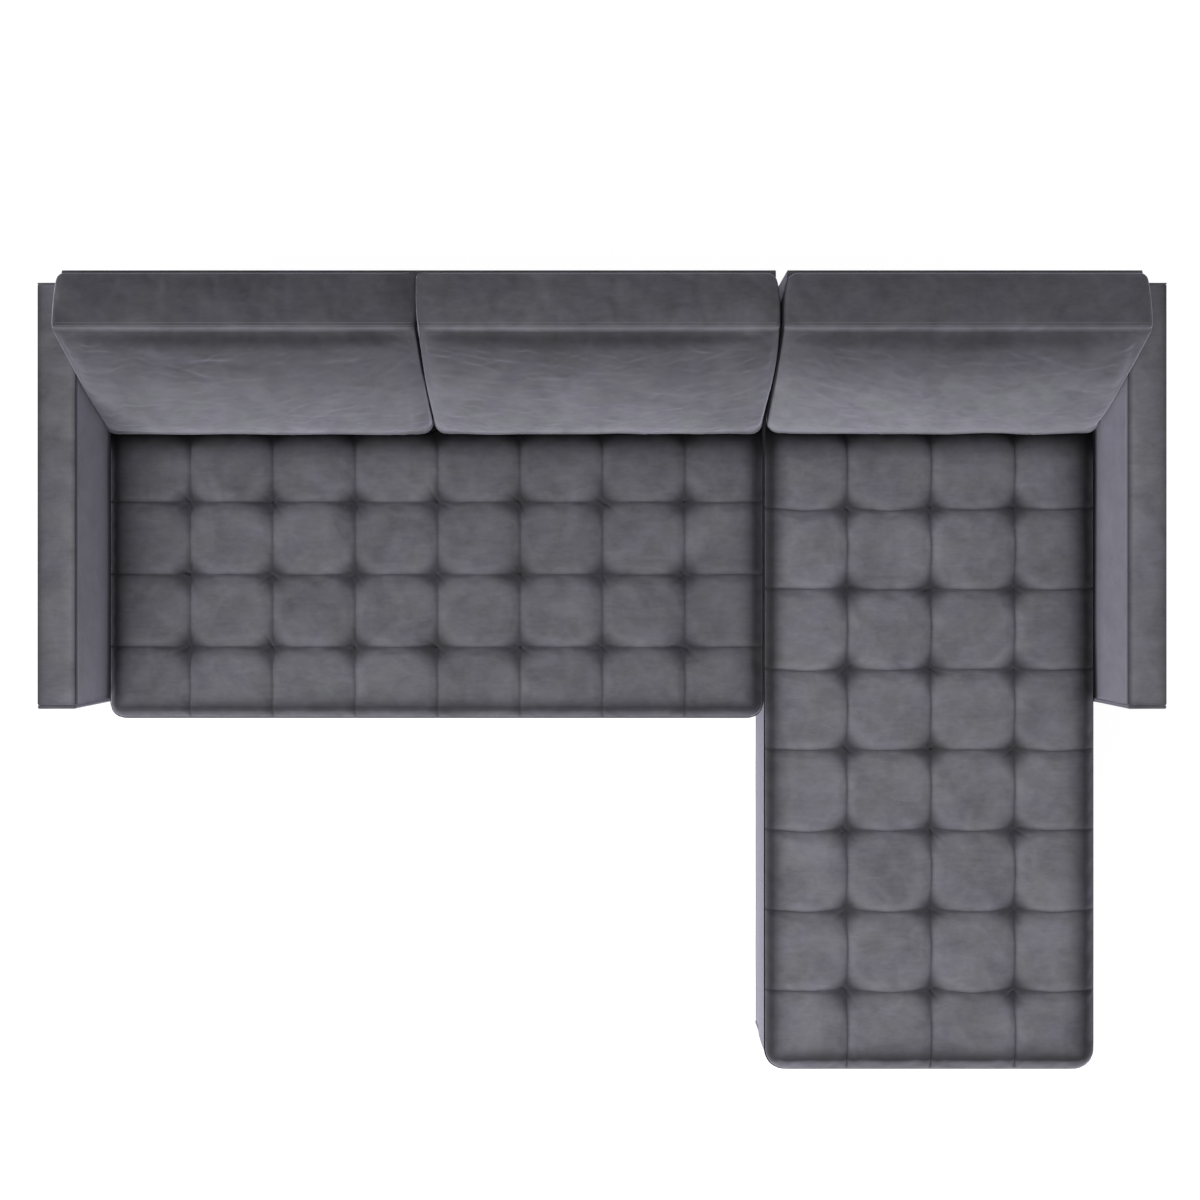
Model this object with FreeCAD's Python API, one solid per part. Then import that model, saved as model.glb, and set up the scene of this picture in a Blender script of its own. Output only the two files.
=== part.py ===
import FreeCAD, Part
import math
import os

# Corner sofa with a right-hand chaise: a sofa section and a chaise section that hook together side by side.
# Frame: X to the right as seen from the front, Y to the back, Z up, origin on the floor under the middle.

# Plan of the two sections
arm_width = 85.0
arm_length = 946.0
sofa_seat_width = 1547.5
chaise_seat_width = 782.5
sofa_depth = 981.0
chaise_depth = 1811.0
cushion_overhang = 18.0
joint_set_in = 12.0
back_end_gap = 13.0

# Heights
leg_height = 150.0
base_height = 138.0
seat_cushion_height = 162.0
arm_height = 640.0
back_height = 751.0
back_cushion_height = 348.0

# Base timber
rail_thickness = 25.0
cross_rail_height = 80.0
corner_block_size = 90.0
corner_block_height = 45.0

# Base upholstery
base_cover_thickness = 10.0
deck_pad_thickness = 13.0
dust_cover_thickness = 1.5
cover_edge_radius = 4.0

# Zigzag seat springs and their clips
spring_wire_radius = 1.9
spring_pitch = 28.0
spring_run = 26.0
spring_spacing = 150.0
spring_drop = 4.0
clip_width = 16.0
clip_depth = 9.0
clip_height = 12.0
clip_play = 0.2

# Legs
leg_inset = 42.0
leg_top_radius = 24.0
leg_foot_radius = 14.0
leg_plate_size = 70.0
leg_plate_thickness = 3.0
glide_radius = 12.0
glide_height = 4.0
glide_pin_radius = 1.5
glide_pin_length = 14.0
leg_bolt_radius = 4.0
leg_bolt_grip = 28.0
hole_play = 0.1

# Back panels
post_thickness = 25.0
post_foot_depth = 103.0
post_top_depth = 21.0
back_top_rail_height = 60.0
back_low_rail_height = 50.0
back_low_rail_rise = 60.0
back_cover_thickness = 4.0
outer_back_thickness = 3.5
edge_strip_thickness = 4.0
top_strip_thickness = 6.0
webbing_thickness = 2.0
webbing_width = 50.0
webbing_count = 4

# Arms
arm_inner_pad = 12.0
arm_outer_pad = 8.0
arm_top_pad = 14.0
arm_front_pad = 10.0
arm_rear_pad = 4.0
arm_bottom_rail_height = 110.0
arm_top_rail_height = 30.0
arm_post_depth = 40.0
arm_bolt_radius = 4.0
arm_bolt_head_radius = 7.5
arm_bolt_head_height = 5.3
arm_bolt_bite = 28.0
arm_bolt_rise = 65.0
arm_bolt_count = 3

# Connector brackets between the sections
bracket_plate = 3.0
bracket_width = 90.0
bracket_height = 60.0
bracket_top_rise = 70.0
bracket_end_distance = 180.0
pocket_gap = 9.0
tongue_thickness = 4.0
tongue_depth = 38.0
tongue_side_play = 4.0
bracket_play = 0.5

# Seat cushions
seat_side_play = 3.0
seat_joint_play = 1.5
seat_rear_play = 3.0
seat_corner_radius = 34.0
seat_draw_in = 3.0
seat_bottom_radius = 9.0
seat_edge_drop = 24.0
column_seam_drop = 13.0
row_seam_drop = 14.5
row_crown_rise = 2.5
tuft_dip_radius = 30.0
tuft_dip_depth = 5.0
bench_columns = 8
bench_row_pitch = 171.0
chaise_columns = 4
chaise_row_pitch = 189.0
tuft_trim_margin = 2.0
core_inset = 16.0
core_floor = 8.0
core_cover = 8.0

# Back cushions
back_cushion_side_play = 2.5
back_cushion_joint_play = 6.0
back_cushion_gap = 0.5
back_cushion_rest = 0.3
back_cushion_rear_play = 0.5
back_cushion_foot_depth = 231.0
back_cushion_top_depth = 106.0
back_cushion_face_crown = 16.0
back_cushion_top_crown = 13.0
back_cushion_edge_radius = 14.0
back_cushion_corner_radius = 22.0
back_cushion_draw_in = 7.0

# Places that follow from the sizes above
rear_face = chaise_depth / 2
seat_left = -(sofa_seat_width + chaise_seat_width) / 2
joint_x = seat_left + sofa_seat_width
seat_right = joint_x + chaise_seat_width
bench_front = rear_face - sofa_depth
chaise_front = rear_face - chaise_depth
arm_front = rear_face - arm_length
deck_top = leg_height + base_height
rail_top = deck_top - deck_pad_thickness
seat_top = deck_top + seat_cushion_height
post_rear = rear_face - outer_back_thickness
base_rear = post_rear - post_foot_depth
post_top = back_height - top_strip_thickness
back_rake = (post_foot_depth - post_top_depth) / (post_top - deck_top)
back_pad_total = back_cover_thickness + webbing_thickness
arm_frame_top = arm_height - arm_top_pad


def point(x, y, z):
    return FreeCAD.Vector(x, y, z)


def block(x0, x1, y0, y1, z0, z1):
    return Part.makeBox(x1 - x0, y1 - y0, z1 - z0, point(x0, y0, z0))


def prism_along_x(outline, x0, x1):
    corners = [point(x0, y, z) for y, z in outline]
    face = Part.Face(Part.makePolygon(corners + corners[:1]))
    return face.extrude(point(x1 - x0, 0, 0))


def prism_along_z(outline, z0, z1):
    corners = [point(x, y, z0) for x, y in outline]
    face = Part.Face(Part.makePolygon(corners + corners[:1]))
    return face.extrude(point(0, 0, z1 - z0))


def rod(start, direction, radius, length):
    return Part.makeCylinder(radius, length, start, direction)


def save(name, solids):
    pieces = [solid for shape in solids for solid in shape.Solids]
    shape = pieces[0] if len(pieces) == 1 else Part.makeCompound(pieces)
    shape.exportStep("parts/" + name + ".step")


def rounded(shape, radius, wanted):
    edges = [edge for edge in shape.Edges if wanted(edge.CenterOfMass)]
    return shape.makeFillet(radius, edges)


def post_face(z):
    """Y of the raked front of the back posts at height z."""
    return base_rear + back_rake * max(0.0, z - deck_top)


def back_face(z):
    """Y of the padded front of the back panel at height z."""
    return post_face(z) - back_pad_total


class Section:
    """One upholstered section: its base stands between left and right, its arm is on the side given by arm_sign."""

    def __init__(self, name, left, right, front, arm_sign):
        self.name = name
        self.left = left
        self.right = right
        self.front = front
        self.arm_sign = arm_sign
        self.frame_left = left + base_cover_thickness
        self.frame_right = right - base_cover_thickness
        self.frame_front = front + base_cover_thickness
        self.bay_left = self.frame_left + rail_thickness
        self.bay_right = self.frame_right - rail_thickness
        self.bay_front = self.frame_front + rail_thickness
        self.bay_rear = base_rear - rail_thickness
        self.back_left = left + (back_end_gap if arm_sign < 0 else 0.0)
        self.back_right = right - (back_end_gap if arm_sign > 0 else 0.0)
        self.arm_inner = left if arm_sign < 0 else right

    def save(self, piece, solids):
        save(self.name + "_" + piece, solids)

    def leg_centres(self):
        xs = (self.bay_left + leg_inset, self.bay_right - leg_inset)
        ys = (self.bay_front + leg_inset, self.bay_rear - leg_inset)
        return [(x, y) for x in xs for y in ys]


sofa = Section("sofa", seat_left, joint_x - joint_set_in, bench_front + cushion_overhang, -1)
chaise = Section("chaise", joint_x + joint_set_in, seat_right, chaise_front + cushion_overhang, 1)


# Base frame

def arm_bolt_places(section):
    first = arm_front + arm_front_pad + arm_post_depth
    last = min(section.bay_rear, rear_face - arm_rear_pad - arm_post_depth) - arm_post_depth
    step = (last - first) / (arm_bolt_count - 1)
    return [first + step * i + arm_bolt_head_radius for i in range(arm_bolt_count)]


def drill_arm_bolts(section, shape):
    outwards = point(section.arm_sign, 0, 0)
    start = section.arm_inner - section.arm_sign * (base_cover_thickness + rail_thickness)
    reach = base_cover_thickness + rail_thickness + arm_inner_pad + arm_bolt_bite
    holes = [
        rod(point(start, y, leg_height + arm_bolt_rise), outwards, arm_bolt_radius + hole_play, reach)
        for y in arm_bolt_places(section)
    ]
    return shape.cut(holes)


def base_rails(section):
    z0, z1 = leg_height, rail_top
    front = block(section.frame_left, section.frame_right, section.frame_front, section.bay_front, z0, z1)
    rear = block(section.frame_left, section.frame_right, section.bay_rear, base_rear, z0, z1)
    left = block(section.frame_left, section.bay_left, section.bay_front, section.bay_rear, z0, z1)
    right = block(section.bay_right, section.frame_right, section.bay_front, section.bay_rear, z0, z1)
    if section.arm_sign < 0:
        left = drill_arm_bolts(section, left)
    else:
        right = drill_arm_bolts(section, right)
    section.save("base_rails", [front, rear, left, right] + cross_rails(section))


def cross_rails(section):
    top = leg_height + cross_rail_height
    bars = []
    if section.arm_sign < 0:
        span = section.bay_right - section.bay_left
        for share in (1, 2):
            x = section.bay_left + span * share / 3 - rail_thickness / 2
            bars.append(block(x, x + rail_thickness, section.bay_front, section.bay_rear, leg_height, top))
    else:
        span = section.bay_rear - section.bay_front
        for share in (1, 2):
            y = section.bay_front + span * share / 3 - rail_thickness / 2
            bars.append(block(section.bay_left, section.bay_right, y, y + rail_thickness, leg_height, top))
    return bars


def corner_blocks(section):
    size = corner_block_size
    blocks = []
    for x, y in section.leg_centres():
        sx = 1 if x < (section.left + section.right) / 2 else -1
        sy = 1 if y < (section.bay_front + section.bay_rear) / 2 else -1
        cx = section.bay_left if sx > 0 else section.bay_right
        cy = section.bay_front if sy > 0 else section.bay_rear
        plan = [(0, 0), (size, 0), (size, size * 0.6), (size * 0.6, size), (0, size)]
        outline = [(cx + sx * a, cy + sy * b) for a, b in plan]
        shape = prism_along_z(outline, leg_height, leg_height + corner_block_height)
        hole = rod(point(x, y, leg_height), point(0, 0, 1), leg_bolt_radius + hole_play, leg_bolt_grip)
        blocks.append(shape.cut(hole))
    section.save("corner_blocks", blocks)


# Zigzag springs, clipped to the inner faces of two facing rails

def zigzag_spring(span):
    """One spring along +Y from its first run at the origin, its runs parallel to X."""
    turns = int(span // spring_pitch)
    pitch = span / turns
    radius = pitch / 2
    half = spring_run / 2
    edges = []
    for i in range(turns + 1):
        y = pitch * i
        side = 1 if i % 2 == 0 else -1
        start = point(-side * half, y, 0)
        end = point(side * half, y, 0)
        edges.append(Part.makeLine(start, end))
        if i < turns:
            middle = point(side * (half + radius), y + radius, 0)
            after = point(side * half, y + pitch, 0)
            edges.append(Part.Arc(end, middle, after).toShape())
    path = Part.Wire(edges)
    profile = Part.Wire(Part.makeCircle(spring_wire_radius, point(-half, 0, 0), point(1, 0, 0)))
    return path.makePipeShell([profile], True, False)


def spring_clip():
    """A clip that holds a run at the origin, its back face towards -Y."""
    clip = block(-clip_width / 2, clip_width / 2, -clip_depth / 2, clip_depth / 2, -clip_height / 2, clip_height / 2)
    bore = rod(point(-clip_width / 2, 0, 0), point(1, 0, 0), spring_wire_radius + clip_play, clip_width)
    return clip.cut(bore)


def springs_and_clips(section):
    height = rail_top - spring_drop - clip_height / 2
    along_y = section.arm_sign < 0
    low, high = (section.bay_front, section.bay_rear) if along_y else (section.bay_left, section.bay_right)
    first, last = (section.bay_left, section.bay_right) if along_y else (section.bay_front, section.bay_rear)
    count = int((last - first) // spring_spacing)
    step = (last - first) / count
    one_spring = zigzag_spring(high - low - clip_depth)
    one_clip = spring_clip()
    springs = []
    clips = []
    for i in range(count):
        across = first + step * (i + 0.5)
        spring = one_spring.copy()
        near = one_clip.copy()
        far = one_clip.copy()
        if not along_y:
            for shape in (spring, near, far):
                shape.rotate(point(0, 0, 0), point(0, 0, 1), -90)
        start = point(across, low + clip_depth / 2, height) if along_y else point(low + clip_depth / 2, across, height)
        end = point(across, high - clip_depth / 2, height) if along_y else point(high - clip_depth / 2, across, height)
        spring.translate(start)
        near.translate(start)
        far.translate(end)
        springs.append(spring)
        clips += [near, far]
    section.save("seat_springs", springs)
    section.save("spring_clips", clips)


# Base upholstery

def deck_pad(section):
    pad = block(section.frame_left, section.frame_right, section.frame_front, base_rear, rail_top, deck_top)
    section.save("deck_pad", [pad])


def base_covers(section):
    y0, y1 = section.front, section.frame_front
    front = block(section.left, section.right, y0, y1, leg_height, deck_top)
    near = section.front + base_cover_thickness / 2
    section.save("front_cover", [rounded(front, cover_edge_radius, lambda c: c.y < near)])
    left = block(section.left, section.frame_left, y1, base_rear, leg_height, deck_top)
    right = block(section.frame_right, section.right, y1, base_rear, leg_height, deck_top)
    if section.arm_sign < 0:
        left = drill_arm_bolts(section, left)
    else:
        right = drill_arm_bolts(section, right)
    section.save("side_covers", [left, right])


def dust_cover(section):
    sheet = block(
        section.frame_left,
        section.frame_right,
        section.frame_front,
        post_rear,
        leg_height - dust_cover_thickness,
        leg_height,
    )
    half = leg_plate_size / 2 + 1
    cuts = []
    for x, y in section.leg_centres():
        cuts.append(block(x - half, x + half, y - half, y + half, 0, leg_height))
    section.save("dust_cover", [sheet.cut(cuts)])


# Legs and their fittings

def legs(section):
    leg_top = leg_height - leg_plate_thickness
    up = point(0, 0, 1)
    wood, plates, bolts, glides = [], [], [], []
    for x, y in section.leg_centres():
        cone = Part.makeCone(leg_foot_radius, leg_top_radius, leg_top - glide_height, point(x, y, glide_height), up)
        bolt_hole = rod(point(x, y, leg_top - leg_bolt_grip), up, leg_bolt_radius + hole_play, leg_bolt_grip)
        pin_hole = rod(point(x, y, glide_height), up, glide_pin_radius + hole_play, glide_pin_length)
        wood.append(cone.cut([bolt_hole, pin_hole]))
        half = leg_plate_size / 2
        plate = block(x - half, x + half, y - half, y + half, leg_top, leg_height)
        plates.append(plate.cut(rod(point(x, y, leg_top), up, leg_bolt_radius + hole_play, leg_plate_thickness)))
        length = 2 * leg_bolt_grip + leg_plate_thickness - 2
        bolts.append(rod(point(x, y, leg_top - leg_bolt_grip + 1), up, leg_bolt_radius, length))
        disc = rod(point(x, y, 0), up, glide_radius, glide_height)
        glides.append(disc.fuse(rod(point(x, y, glide_height / 2), up, glide_pin_radius, glide_pin_length)))
    section.save("legs", wood)
    section.save("leg_plates", plates)
    section.save("leg_bolts", bolts)
    section.save("leg_glides", glides)


# Back panels

def post_outline(top):
    return [
        (base_rear, leg_height),
        (base_rear, deck_top),
        (post_face(top), top),
        (post_rear, top),
        (post_rear, leg_height),
    ]


def post_places(section):
    """Left edge of each back post, inside the edge strips."""
    left = section.back_left + edge_strip_thickness
    right = section.back_right - edge_strip_thickness - post_thickness
    count = 3 if section.arm_sign < 0 else 2
    return [left + (right - left) * i / (count - 1) for i in range(count)]


def back_frame(section):
    under_rail = post_top - back_top_rail_height
    places = post_places(section)
    posts = [prism_along_x(post_outline(under_rail), x, x + post_thickness) for x in places]
    section.save("back_posts", posts)
    rail_outline = [
        (post_face(under_rail), under_rail),
        (post_face(post_top), post_top),
        (post_rear, post_top),
        (post_rear, under_rail),
    ]
    rails = [prism_along_x(rail_outline, places[0], places[-1] + post_thickness)]
    z0 = deck_top + back_low_rail_rise
    for left, right in zip(places, places[1:]):
        rails.append(
            block(left + post_thickness, right, post_rear - rail_thickness, post_rear, z0, z0 + back_low_rail_height)
        )
    section.save("back_rails", rails)


def back_webbing(section):
    places = post_places(section)
    low = deck_top + back_low_rail_rise
    step = (post_top - webbing_width - low) / (webbing_count - 1)
    straps = []
    for i in range(webbing_count):
        z0 = low + step * i
        z1 = z0 + webbing_width
        outline = [
            (post_face(z0) - webbing_thickness, z0),
            (post_face(z1) - webbing_thickness, z1),
            (post_face(z1), z1),
            (post_face(z0), z0),
        ]
        straps.append(prism_along_x(outline, places[0], places[-1] + post_thickness))
    section.save("back_webbing", straps)


def back_covers(section):
    z0, z1 = deck_top, back_height
    inner_outline = [
        (back_face(z0), z0),
        (back_face(z1), z1),
        (back_face(z1) + back_cover_thickness, z1),
        (back_face(z0) + back_cover_thickness, z0),
    ]
    inner = prism_along_x(inner_outline, section.back_left, section.back_right)
    section.save("inner_back_cover", [inner])
    outer = block(section.back_left, section.back_right, post_rear, rear_face, leg_height, back_height)
    section.save("outer_back_cover", [outer])


def back_edge_strips(section):
    """The top strip and the two end strips that close the panel between its inner and outer covers."""
    z1 = post_top
    gap = webbing_thickness
    end_outline = [
        (base_rear, leg_height),
        (base_rear, deck_top),
        (base_rear - gap, deck_top),
        (post_face(z1) - gap, z1),
        (post_rear, z1),
        (post_rear, leg_height),
    ]
    left = prism_along_x(end_outline, section.back_left, section.back_left + edge_strip_thickness)
    right = prism_along_x(end_outline, section.back_right - edge_strip_thickness, section.back_right)
    top_outline = [
        (post_face(z1) - gap, z1),
        (post_face(back_height) - gap, back_height),
        (post_rear, back_height),
        (post_rear, z1),
    ]
    top = prism_along_x(top_outline, section.back_left, section.back_right)
    section.save("back_edge_strips", [left, right, top])


# Arms

def arm(section, name):
    sign = section.arm_sign
    inner = section.arm_inner
    outer = inner + sign * arm_width
    frame_inner = inner + sign * arm_inner_pad
    frame_outer = outer - sign * arm_outer_pad
    y0, y1 = arm_front + arm_front_pad, rear_face - arm_rear_pad
    z0, z1 = leg_height, arm_frame_top

    def bar(a, b, low, high):
        return block(min(frame_inner, frame_outer), max(frame_inner, frame_outer), a, b, low, high)

    bottom_top = z0 + arm_bottom_rail_height
    under_top = z1 - arm_top_rail_height
    middle = (y0 + y1) / 2
    bottom = drill_arm_bolts(section, bar(y0, y1, z0, bottom_top))
    posts = [
        bar(y0, y0 + arm_post_depth, bottom_top, under_top),
        bar(middle - arm_post_depth / 2, middle + arm_post_depth / 2, bottom_top, under_top),
        bar(y1 - arm_post_depth, y1, bottom_top, under_top),
    ]
    save(name + "_frame", [bottom, bar(y0, y1, under_top, z1)] + posts)

    inner_cover = block(min(inner, frame_inner), max(inner, frame_inner), y0, y1, z0, z1)
    save(name + "_inner_cover", [drill_arm_bolts(section, inner_cover)])
    outer_cover = block(min(outer, frame_outer), max(outer, frame_outer), y0, y1, z0, z1)
    save(name + "_outer_cover", [outer_cover])
    low_x, high_x = min(inner, outer), max(inner, outer)
    top = block(low_x, high_x, y0, y1, z1, arm_height)
    level = arm_height - arm_top_pad / 4
    save(name + "_top_cover", [rounded(top, cover_edge_radius, lambda c: c.z > level and abs(c.y - middle) < 1)])
    front = block(low_x, high_x, arm_front, y0, z0, arm_height)
    ahead = arm_front + arm_front_pad / 4
    save(name + "_front_cover", [rounded(front, cover_edge_radius, lambda c: c.y < ahead)])
    save(name + "_rear_cover", [block(low_x, high_x, y1, rear_face, z0, arm_height)])

    outwards = point(sign, 0, 0)
    bolts = []
    rail_inside = inner - sign * (base_cover_thickness + rail_thickness)
    length = base_cover_thickness + rail_thickness + arm_inner_pad + arm_bolt_bite - 1
    for y in arm_bolt_places(section):
        seat = point(rail_inside, y, leg_height + arm_bolt_rise)
        shank = rod(seat, outwards, arm_bolt_radius, length)
        head = hexagon(seat, -sign, arm_bolt_head_radius, arm_bolt_head_height)
        bolts.append(shank.fuse(head))
    save(name + "_bolts", bolts)


def hexagon(centre, sign, radius, height):
    corners = []
    for i in range(6):
        angle = math.radians(60 * i)
        corners.append(centre + point(0, radius * math.cos(angle), radius * math.sin(angle)))
    face = Part.Face(Part.makePolygon(corners + corners[:1]))
    return face.extrude(point(sign * height, 0, 0))


# Connector brackets: pockets on the sofa section, tongues on the chaise section

def bracket_places():
    return (sofa.front + bracket_end_distance, base_rear - bracket_end_distance)


def pocket_brackets():
    x0 = sofa.right
    x1 = x0 + bracket_plate
    x2 = x1 + pocket_gap
    x3 = x2 + bracket_plate
    z1 = leg_height + bracket_top_rise
    z0 = z1 - bracket_height
    brackets = []
    for y in bracket_places():
        y0, y1 = y - bracket_width / 2, y + bracket_width / 2
        shape = block(x0, x3, y0, y1, z0, z1)
        cavity = block(x1, x2, y0 + bracket_plate, y1 - bracket_plate, z0 + bracket_plate, z1)
        brackets.append(shape.cut(cavity))
    save("connector_pockets", brackets)


def tongue_brackets():
    x3 = chaise.left
    x2 = x3 - bracket_plate
    x0 = sofa.right + bracket_plate + (pocket_gap - tongue_thickness) / 2
    x1 = x0 + tongue_thickness
    z1 = leg_height + bracket_top_rise + bracket_play
    z2 = z1 + tongue_thickness
    brackets = []
    for y in bracket_places():
        y0 = y - bracket_width / 2 + bracket_plate + tongue_side_play
        y1 = y + bracket_width / 2 - bracket_plate - tongue_side_play
        plate = block(x2, x3, y0, y1, z2 - bracket_height, z2)
        bridge = block(x0, x2, y0, y1, z1, z2)
        tongue = block(x0, x1, y0, y1, z1 - tongue_depth, z1)
        brackets.append(plate.fuse([bridge, tongue]).removeSplitter())
    save("connector_tongues", brackets)


# Seat cushions: a quilted, tufted cover over a plain foam core

def scalloped_prism(stations, place, travel, seam_drop, crown_rise):
    """A prism whose top has one arc over each pillow between stations. place turns (station, height) into a point."""
    crown = seat_top + crown_rise
    stations = [stations[0] - tuft_trim_margin] + stations[1:-1] + [stations[-1] + tuft_trim_margin]
    drops = [seat_edge_drop + crown_rise] + [seam_drop + crown_rise] * (len(stations) - 2)
    drops.append(seat_edge_drop + crown_rise)
    edges = []
    for a, b, drop_a, drop_b in zip(stations, stations[1:], drops, drops[1:]):
        summit = a + (b - a) * math.sqrt(drop_a) / (math.sqrt(drop_a) + math.sqrt(drop_b))
        start, end = place(a, crown - drop_a), place(b, crown - drop_b)
        edges.append(Part.Arc(start, place(summit, crown), end).toShape())
    low_a, low_b = place(stations[0], deck_top - 1), place(stations[-1], deck_top - 1)
    high_a, high_b = place(stations[0], crown - drops[0]), place(stations[-1], crown - drops[-1])
    edges += [Part.makeLine(high_b, low_b), Part.makeLine(low_b, low_a), Part.makeLine(low_a, high_a)]
    return Part.Face(Part.Wire(edges)).extrude(travel)


def drawn_in_plan(x0, x1, y0, y1, z0, z1):
    """A block with rounded corners whose four sides bow in between them."""
    r, sag = seat_corner_radius, seat_draw_in
    k = r * (1 - math.sqrt(0.5))
    corners = [
        (point(x0, y0 + r, z0), point(x0 + k, y0 + k, z0), point(x0 + r, y0, z0)),
        (point(x1 - r, y0, z0), point(x1 - k, y0 + k, z0), point(x1, y0 + r, z0)),
        (point(x1, y1 - r, z0), point(x1 - k, y1 - k, z0), point(x1 - r, y1, z0)),
        (point(x0 + r, y1, z0), point(x0 + k, y1 - k, z0), point(x0, y1 - r, z0)),
    ]
    mx, my = (x0 + x1) / 2, (y0 + y1) / 2
    middles = [point(mx, y0 + sag, z0), point(x1 - sag, my, z0), point(mx, y1 - sag, z0), point(x0 + sag, my, z0)]
    edges = []
    for i in range(4):
        start, through, end = corners[i]
        edges.append(Part.Arc(start, through, end).toShape())
        following = corners[(i + 1) % 4][0]
        edges.append(Part.Arc(end, middles[i], following).toShape())
    return Part.Face(Part.Wire(edges)).extrude(point(0, 0, z1 - z0))


def tufted_cushion(name, x0, x1, y0, y1, columns, row_pitch):
    xs = [x0 + (x1 - x0) * i / columns for i in range(columns + 1)]
    rows = max(2, round((y1 - y0) / row_pitch))
    ys = [y0 + row_pitch * i for i in range(rows)] + [y1]
    left, front = x0 - tuft_trim_margin, y0 - tuft_trim_margin
    width = point(x1 - x0 + 2 * tuft_trim_margin, 0, 0)
    length = point(0, y1 - y0 + 2 * tuft_trim_margin, 0)
    columns_prism = scalloped_prism(xs, lambda s, z: point(s, front, z), length, column_seam_drop, 0.0)
    rows_prism = scalloped_prism(ys, lambda s, z: point(left, s, z), width, row_seam_drop, row_crown_rise)
    plan = drawn_in_plan(x0, x1, y0, y1, deck_top, seat_top + 1)
    soft_plan = rounded(plan, seat_bottom_radius, lambda c: c.z < deck_top + 0.01)
    shape = columns_prism.common(rows_prism).common(soft_plan)
    dip_z = seat_top - row_seam_drop - tuft_dip_depth + tuft_dip_radius
    dips = [Part.makeSphere(tuft_dip_radius, point(x, y, dip_z)) for x in xs[1:-1] for y in ys[1:-1]]
    shape = shape.cut(dips)
    core_top = seat_top - row_seam_drop - tuft_dip_depth - core_cover
    core = block(
        x0 + core_inset, x1 - core_inset, y0 + core_inset, y1 - core_inset, deck_top + core_floor, core_top
    )
    save(name + "_cover", [shape.cut(core)])
    save(name + "_core", [core])


def seat_cushions():
    rear = back_face(deck_top) - seat_rear_play
    tufted_cushion(
        "bench_cushion",
        seat_left + seat_side_play,
        joint_x - seat_joint_play,
        bench_front,
        rear,
        bench_columns,
        bench_row_pitch,
    )
    tufted_cushion(
        "chaise_cushion",
        joint_x + seat_joint_play,
        seat_right - seat_side_play,
        chaise_front,
        rear,
        chaise_columns,
        chaise_row_pitch,
    )


# Back cushions: wedges that stand on the seat cushions and lean on the back panels

def back_cushion(name, x0, x1):
    z0 = seat_top + back_cushion_rest
    z1 = z0 + back_cushion_height - back_cushion_top_crown
    rear_low = back_face(z0) - back_cushion_rear_play
    rear_high = back_face(z1) - back_cushion_rear_play
    front_low = rear_low - back_cushion_foot_depth
    front_high = rear_high - back_cushion_top_depth
    lean = math.atan2(front_high - front_low, z1 - z0)
    face_y = (front_low + front_high) / 2 - back_cushion_face_crown * math.cos(lean)
    face_z = (z0 + z1) / 2 + back_cushion_face_crown * math.sin(lean)
    a, b = point(x0, front_low, z0), point(x0, rear_low, z0)
    c, d = point(x0, rear_high, z1), point(x0, front_high, z1)
    edges = [
        Part.makeLine(a, b),
        Part.makeLine(b, c),
        Part.Arc(c, point(x0, (rear_high + front_high) / 2, z1 + back_cushion_top_crown), d).toShape(),
        Part.Arc(d, point(x0, face_y, face_z), a).toShape(),
    ]
    wedge = Part.Face(Part.Wire(edges)).extrude(point(x1 - x0, 0, 0))
    middle = (x0 + x1) / 2
    wedge = rounded(wedge, back_cushion_edge_radius, lambda p: abs(p.x - middle) < 1)
    y0 = front_low - 2 * back_cushion_face_crown
    y1 = rear_high + back_cushion_face_crown
    outline = front_outline(x0, x1, z0, z1 + back_cushion_top_crown, y0)
    save(name, [wedge.common(outline.extrude(point(0, y1 - y0, 0)))])


def front_outline(x0, x1, z0, z1, y):
    """The cushion as seen from the front: rounded corners, and sides that bow in between them."""
    r, sag = back_cushion_corner_radius, back_cushion_draw_in
    k = r * (1 - math.sqrt(0.5))
    mz = (z0 + z1) / 2
    edges = [
        Part.makeLine(point(x0 + r, y, z0), point(x1 - r, y, z0)),
        Part.Arc(point(x1 - r, y, z0), point(x1 - k, y, z0 + k), point(x1, y, z0 + r)).toShape(),
        Part.Arc(point(x1, y, z0 + r), point(x1 - sag, y, mz), point(x1, y, z1 - r)).toShape(),
        Part.Arc(point(x1, y, z1 - r), point(x1 - k, y, z1 - k), point(x1 - r, y, z1)).toShape(),
        Part.makeLine(point(x1 - r, y, z1), point(x0 + r, y, z1)),
        Part.Arc(point(x0 + r, y, z1), point(x0 + k, y, z1 - k), point(x0, y, z1 - r)).toShape(),
        Part.Arc(point(x0, y, z1 - r), point(x0 + sag, y, mz), point(x0, y, z0 + r)).toShape(),
        Part.Arc(point(x0, y, z0 + r), point(x0 + k, y, z0 + k), point(x0 + r, y, z0)).toShape(),
    ]
    return Part.Face(Part.Wire(edges))


def back_cushions():
    left = seat_left + back_cushion_side_play
    right = joint_x - back_cushion_joint_play
    middle = (left + right) / 2
    back_cushion("left_back_cushion", left, middle - back_cushion_gap / 2)
    back_cushion("middle_back_cushion", middle + back_cushion_gap / 2, right)
    back_cushion("right_back_cushion", joint_x + back_cushion_joint_play, seat_right - back_cushion_side_play)


os.makedirs("parts", exist_ok=True)
for each_section, arm_name in ((sofa, "left_arm"), (chaise, "right_arm")):
    base_rails(each_section)
    corner_blocks(each_section)
    springs_and_clips(each_section)
    deck_pad(each_section)
    base_covers(each_section)
    dust_cover(each_section)
    legs(each_section)
    back_frame(each_section)
    back_webbing(each_section)
    back_covers(each_section)
    back_edge_strips(each_section)
    arm(each_section, arm_name)
pocket_brackets()
tongue_brackets()
seat_cushions()
back_cushions()
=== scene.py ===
import math
import zlib

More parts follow.
